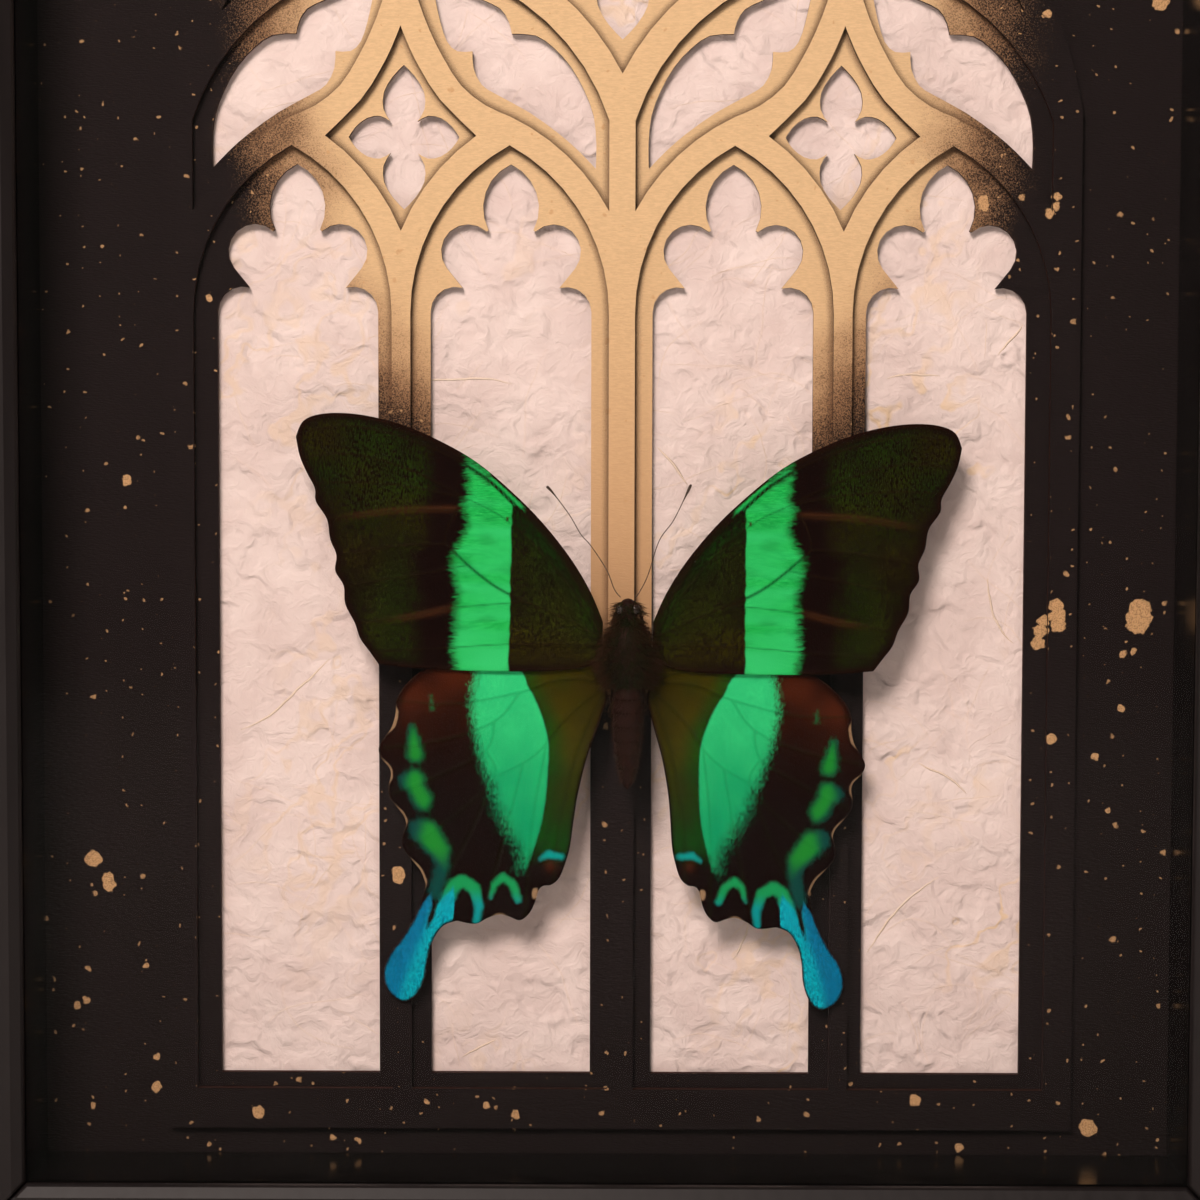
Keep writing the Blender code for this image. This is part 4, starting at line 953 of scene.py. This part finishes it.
def wing_relief(points, veins, rim):
    """Height of the upper side: ridged veins, soft troughs between them and a thin rim."""
    gap, along = vein_distance(points, veins)
    ridge = 0.17 * bell(gap, 0.22) * (1 - 0.6 * along)
    trough = 0.10 * (step(0, 3.0, gap) - 0.5)
    ripple = 0.05 * noise(points[:, 0], points[:, 1], 4.0, 51)
    return (ridge - trough + ripple) * step(0.0, 1.2, rim) + 0.06


def wing(kind, side, look):
    """One wing as a thin closed membrane with veins, in place of its CAD node."""
    sign, fore_turn, fore_size, hind_turn, hind_size = WING_SETS[side]
    if kind == "forewing":
        outline, veins, fields = forewing_outline(), FORE_VEINS, forewing_fields
        turn, size, front_y, hinge_z, droop = fore_turn, fore_size, FORE_Y, FORE_HINGE_Z, 0.0
    else:
        outline, veins, fields = hindwing_outline(), HIND_VEINS, hindwing_fields
        turn, size, front_y, hinge_z, droop = hind_turn, hind_size, HIND_Y, HIND_HINGE_Z, HIND_DROOP
    edge, grid = wing_points(outline)
    flat = np.concatenate([edge, grid])
    count = len(edge)
    loop_edges = [(i, (i + 1) % count) for i in range(count)]
    found = delaunay_2d_cdt([Vector(p) for p in flat], loop_edges, [list(range(count))], 1, 1e-5)
    flat = np.array([p[:] for p in found[0]])
    triangles = np.array([f for f in found[2]])
    rim = np.abs(area_distance(flat, outline))
    rise = wing_relief(flat, veins, rim)
    curve = 0.22 * np.sin(flat[:, 0] / 61.0 * math.pi)
    top = rise + curve
    bottom = top - 0.05 - 0.09 * step(0, 0.8, rim)
    spread = np.stack([sign * size * (flat[:, 0] * math.cos(turn) - flat[:, 1] * math.sin(turn)),
                       size * (flat[:, 0] * math.sin(turn) + flat[:, 1] * math.cos(turn))], 1)
    upper = np.column_stack([spread, top])
    lower = np.column_stack([spread, bottom])
    number = len(flat)
    used = {}
    for a, b, c in triangles:
        for start, end in ((a, b), (b, c), (c, a)):
            used[(start, end)] = used.get((start, end), 0) + 1
    border = [(a, b) for a, b in used if (b, a) not in used]
    faces = [tuple(t) if sign > 0 else tuple(t[::-1]) for t in triangles]
    faces += [tuple(i + number for i in reversed(f)) for f in faces]
    for a, b in border:
        start, end = (b, a) if sign > 0 else (a, b)
        faces.append((start, end, end + number, start + number))
    turned = (Matrix.Translation((BODY_X, front_y + WING_T / 2, hinge_z))
              @ Matrix.Rotation(sign * WING_SWEEP, 4, "Z") @ Matrix.Rotation(math.pi / 2 + droop, 4, "X"))
    local = np.concatenate([upper, lower])
    placed = (np.array(turned)[:3, :3] @ local.T).T + np.array(turned)[:3, 3]
    name = f"{kind}_{side}"
    mesh = mesh_from(name + "_scaled", placed, faces)
    made = new_object(name + "_scaled", mesh, look)
    for key, values in fields(flat, outline).items():
        store(mesh, key, np.concatenate([values, values]))
    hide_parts(name)
    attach(made, "root")
    return made


# the body

BODY_PROFILE = [(0.05, 90.2), (0.9, 89.9), (1.5, 89.1), (1.75, 87.9), (1.6, 86.6), (1.6, 85.7), (2.4, 84.9),
                (3.5, 83.2), (3.95, 80.8), (3.9, 78.4), (3.3, 76.2), (2.5, 74.6), (2.3, 73.6), (2.75, 72.0),
                (2.6, 71.6), (2.8, 69.6), (2.62, 69.1), (2.78, 67.0), (2.55, 66.5), (2.62, 64.4),
                (2.35, 63.9), (2.35, 61.8), (2.05, 61.4), (1.9, 59.4), (1.6, 59.0), (1.2, 57.0),
                (0.7, 55.8), (0.05, 55.2)]
EYE_R = 1.1
LEGS = [
    [(1.8, 2.2, 82.6), (2.7, 4.5, 84.6), (2.4, 5.0, 86.6), (1.5, 4.6, 88.6)],
    [(2.2, 2.6, 80.6), (2.9, 4.9, 77.0), (2.7, 5.1, 70.0), (2.1, 4.8, 63.6)],
    [(1.6, 2.4, 77.4), (1.8, 4.9, 74.0), (1.5, 5.2, 66.4), (0.9, 4.9, 58.6)],
]


def body_radius(z):
    """Radius of the body at a height above the sill."""
    profile = np.array(BODY_PROFILE[::-1])
    return np.interp(z, profile[:, 1], profile[:, 0])


def lathe(profile, segments):
    """Points and faces of a shape turned about the vertical axis."""
    points, faces = [], []
    for radius, z in profile:
        for i in range(segments):
            a = 2 * math.pi * i / segments
            points.append((radius * math.cos(a), radius * math.sin(a), z))
    for row in range(len(profile) - 1):
        for i in range(segments):
            j = (i + 1) % segments
            low, high = row * segments, (row + 1) * segments
            faces.append((low + i, high + i, high + j, low + j))
    faces.append(tuple(range(segments)))
    last = (len(profile) - 1) * segments
    faces.append(tuple(range(last + segments - 1, last - 1, -1)))
    return points, faces


def tube(route, radii, sides):
    """Points and faces of a closed tube along a route, with a radius at each point."""
    route = np.array(route, float)
    along = np.gradient(route, axis=0)
    along /= np.linalg.norm(along, axis=1)[:, None]
    points, faces = [], []
    for place, way, radius in zip(route, along, radii):
        first = np.cross(way, (0.31, 0.95, 0.07))
        first /= np.linalg.norm(first)
        second = np.cross(way, first)
        for i in range(sides):
            a = 2 * math.pi * i / sides
            points.append(tuple(place + radius * (math.cos(a) * first + math.sin(a) * second)))
    for row in range(len(route) - 1):
        for i in range(sides):
            j = (i + 1) % sides
            low, high = row * sides, (row + 1) * sides
            faces.append((low + i, low + j, high + j, high + i))
    last = (len(route) - 1) * sides
    faces += [tuple(range(sides - 1, -1, -1)), tuple(range(last, last + sides))]
    return points, faces


def gather(parts):
    """Join (points, faces, material index) lists into one."""
    points, faces, slots = [], [], []
    for part_points, part_faces, slot in parts:
        shift = len(points)
        points += part_points
        faces += [tuple(i + shift for i in f) for f in part_faces]
        slots += [slot] * len(part_faces)
    return points, faces, slots


def body():
    """Head with eyes, thorax, ringed abdomen and folded legs."""
    shape, skin = lathe(smooth(BODY_PROFILE, 3), 40)
    shape = [(BODY_X + x, BODY_Y + y, SILL_Z + z) for x, y, z in shape]
    parts = [(shape, skin, 0)]
    for sign in (-1, 1):
        ball = bmesh.new()
        bmesh.ops.create_uvsphere(ball, u_segments=28, v_segments=18, radius=EYE_R)
        middle = Vector((BODY_X + sign * 1.25, BODY_Y - 0.5, SILL_Z + 88.1))
        ball.verts.index_update()
        parts.append(([tuple(v.co + middle) for v in ball.verts],
                      [tuple(v.index for v in f.verts) for f in ball.faces], 1))
        ball.free()
        for leg in LEGS:
            route = smooth([(BODY_X + sign * x, BODY_Y + y, SILL_Z + z) for x, y, z in leg], 6)
            radii = [(0.40 - 0.012 * i) * (1.25 if i % 6 in (0, 5) else 1.0) for i in range(len(route))]
            parts.append((*tube(route, radii, 10), 0))
    points, faces, slots = gather(parts)
    mesh = mesh_from("insect_body", points, faces)
    mesh.polygons.foreach_set("material_index", slots)
    made = new_object("insect_body", mesh, chitin_look(), eye_look())
    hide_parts("body")
    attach(made, "root")
    return made


HAIR_COUNT = 7400
HAIR_ZONES = [(74.0, 86.5), (56.5, 74.0), (85.5, 89.6)]     # thorax, abdomen and head, above the sill
HAIR_SHARES = [0.60, 0.28, 0.12]
TUFT_SHARE = 0.10                   # of the hairs, which fill the angle between the wing roots
TUFT_ZONE = (74.8, 79.0)
HAIR_SAG = (0.12, 0.14)             # along the shaft and at the tip
HAIR_RINGS = ((0.0, 1.0), (0.55, 0.75))     # share of the length, share of the girth


def body_hairs():
    """Short tapered hairs, dense on the thorax and lying back along the abdomen."""
    rng = np.random.default_rng(3)
    points, faces, tones = [], [], []
    for _ in range(HAIR_COUNT):
        z = rng.choice([rng.uniform(*zone) for zone in HAIR_ZONES], p=HAIR_SHARES)
        angle = rng.uniform(0, 2 * math.pi)
        tuft = rng.uniform() < TUFT_SHARE
        if tuft:
            z = rng.uniform(*TUFT_ZONE)
            angle = rng.choice([0.0, math.pi]) + rng.normal(0, 0.22)
        radius = float(body_radius(z)) - 0.05
        out = np.array([math.cos(angle), math.sin(angle), 0.0])
        flank = abs(out[0]) ** 3
        thorax = 1.0 if z > 74 else 0.0
        growth = 2.2 if 74.0 < z < 80.0 else 1.2
        length = rng.uniform(0.5, 1.1) * (1.25 if thorax else 0.7) * (1.0 + growth * thorax * flank)
        lie = -0.55 if thorax else -1.3
        if tuft:
            length, lie = rng.uniform(1.6, 3.4), rng.uniform(-0.35, 0.1)
        stray = np.array([rng.normal(0, 0.25), rng.normal(0, 0.25), lie + rng.normal(0, 0.3)])
        way = out * (1 + 1.2 * flank) + stray
        way /= np.linalg.norm(way)
        root = np.array([BODY_X, BODY_Y, SILL_Z + z]) + out * radius
        side = np.cross(way, out + 0.01)
        side /= np.linalg.norm(side)
        back = np.cross(way, side)
        girth = rng.uniform(0.035, 0.06)
        base = len(points)
        for share, width in HAIR_RINGS:
            place = root + way * length * share + np.array([0, 0, -HAIR_SAG[0] * share ** 2])
            for k in range(3):
                a = 2 * math.pi * k / 3
                points.append(tuple(place + girth * width * (math.cos(a) * side + math.sin(a) * back)))
        points.append(tuple(root + way * length + np.array([0, 0, -HAIR_SAG[1]])))
        for k in range(3):
            low, high = base + k, base + (k + 1) % 3
            faces += [(low, high, high + 3, low + 3), (low + 3, high + 3, base + 6)]
        faces.append((base + 2, base + 1, base))
        tone = rng.normal(0.75 - 0.65 * thorax * (1 - abs(out[0]) ** 2), 0.25)
        tones += [float(np.clip(tone, 0, 1))] * 7
    mesh = mesh_from("body_hairs", points, faces)
    store(mesh, "tone", tones)
    made = new_object("body_hairs", mesh, fur_look())
    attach(made, "root")
    return made


ANTENNAE = {                # (across from the body's line, height above the sill), head to club
    "left": [(-1.35, 90.4), (-2.5, 91.9), (-3.9, 95.4), (-6.7, 99.7), (-8.6, 101.9), (-10.6, 105.3),
             (-13.5, 109.2), (-14.8, 110.6)],
    "right": [(1.35, 90.4), (2.2, 91.6), (3.6, 94.5), (5.6, 100.7), (8.1, 104.3), (10.1, 108.3),
              (11.35, 111.0)],
}


def antenna(side, look):
    """A ringed antenna that swells into a club."""
    route = ANTENNAE[side]
    way = smooth([(BODY_X + x, BODY_Y - 0.6 - 0.05 * (z - route[0][1]), SILL_Z + z) for x, z in route], 14)
    last = len(way) - 1
    radii = []
    for i in range(len(way)):
        share = i / last
        club = 0.20 * float(step(0.80, 0.94, share)) * float(step(1.02, 0.97, share))
        radii.append((0.09 + club) * (1.0 if i % 2 else 0.82))
    points, faces = tube(way, radii, 12)
    made = new_object(f"antenna_{side}_ringed", mesh_from(f"antenna_{side}_ringed", points, faces), look)
    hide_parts(f"antenna_{side}")
    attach(made, "root")
    return made


# the stage


def dress_nodes():
    """Give the carried-over solids their materials."""
    looks = {
        "frame_": lacquer_look(), "spacer_": liner_look(), "glass_pane": glass_look(),
        "window_plate": gilded_card(), "mount_board": foam_look(), "backing_board": hardboard_look(),
        "framers_point_": steel_look(),
    }
    looks["tracery_mat"] = looks["window_plate"]
    for name in ("sawtooth_hanger", "hanger_nail_", "specimen_pin"):
        looks[name] = looks["framers_point_"]
    for name, node in NODES.items():
        for start, look in looks.items():
            if name.startswith(start):
                node.data.materials.clear()
                node.data.materials.append(look)


CAMERA_DISTANCE = 600.0     # from the mat's front
CAMERA_X = -0.27
CAMERA_Z = 130.6
CAMERA_TILT = -0.0692
CAMERA_PAN = 0.0061
CAMERA_ROLL = 0.0024
CAMERA_LENS = 97.1


def camera():
    """The photographer's view, close in front of the glass and a little above the middle."""
    turn = Matrix.Rotation(CAMERA_PAN, 3, "Z") @ Matrix.Rotation(CAMERA_TILT, 3, "X")
    right, ahead, up = (turn @ Vector(axis) for axis in ((1, 0, 0), (0, 1, 0), (0, 0, 1)))
    rolled_right = math.cos(CAMERA_ROLL) * right + math.sin(CAMERA_ROLL) * up
    rolled_up = -math.sin(CAMERA_ROLL) * right + math.cos(CAMERA_ROLL) * up
    data = bpy.data.cameras.new("camera")
    data.lens = CAMERA_LENS
    data.sensor_width = 36.0
    data.clip_start = 0.01
    made = bpy.data.objects.new("camera", data)
    place = Vector((WINDOW_X + CAMERA_X, MAT_Y - CAMERA_DISTANCE, SILL_Z + CAMERA_Z)) * MM
    basis = Matrix((rolled_right, rolled_up, -ahead)).transposed().to_4x4()
    made.matrix_world = Matrix.Translation(place) @ basis
    bpy.context.scene.collection.objects.link(made)
    bpy.context.scene.camera = made


def softbox(name, place, target, size, power, tint):
    """A square studio light, aimed at a point, in millimetres."""
    data = bpy.data.lights.new(name, "AREA")
    data.shape = "SQUARE"
    data.size = size * MM
    data.energy = power
    data.color = tint
    made = bpy.data.objects.new(name, data)
    made.location = Vector(place) * MM
    made.rotation_euler = (Vector(target) - Vector(place)).to_track_quat("-Z", "Y").to_euler()
    bpy.context.scene.collection.objects.link(made)


def studio():
    """Soft light from above and in front, and a plain pale floor."""
    middle = (0.0, 0.0, 150.0)
    softbox("key", (-230.0, -820.0, 720.0), middle, 300.0, 11.8, (1.0, 0.85, 0.78))
    softbox("fill", (-950.0, -650.0, 420.0), middle, 500.0, 1.0, (1.0, 0.90, 0.86))
    softbox("back", (300.0, 900.0, 700.0), middle, 700.0, 9.0, (1.0, 0.95, 0.92))
    world = bpy.data.worlds.new("soft_room")
    world.use_nodes = True
    world.node_tree.nodes["Background"].inputs["Color"].default_value = (1.0, 0.86, 0.79, 1.0)
    world.node_tree.nodes["Background"].inputs["Strength"].default_value = 0.165
    bpy.context.scene.world = world
    bpy.context.scene.view_settings.view_transform = "Standard"
    mesh = bpy.data.meshes.new("floor")
    shape = bmesh.new()
    bmesh.ops.create_grid(shape, x_segments=1, y_segments=1, size=3.0)
    shape.to_mesh(mesh)
    shape.free()
    look = Look("floor", 0.8)
    look.colour(look.mix(look.noise(3.0), (0.72, 0.70, 0.68), (0.76, 0.74, 0.72)))
    new_object("floor", mesh, look.material)


def main():
    """Dress the frame, add the finer pieces and set the stage."""
    dress_nodes()
    mulberry_paper()
    paper_fibres()
    fore, hind = forewing_look(), hindwing_look()
    for side in WING_SETS:
        wing("forewing", side, fore)
        wing("hindwing", side, hind)
    body()
    body_hairs()
    chitin = bpy.data.materials["dark_chitin"]
    for side in ANTENNAE:
        antenna(side, chitin)
    camera()
    studio()


main()
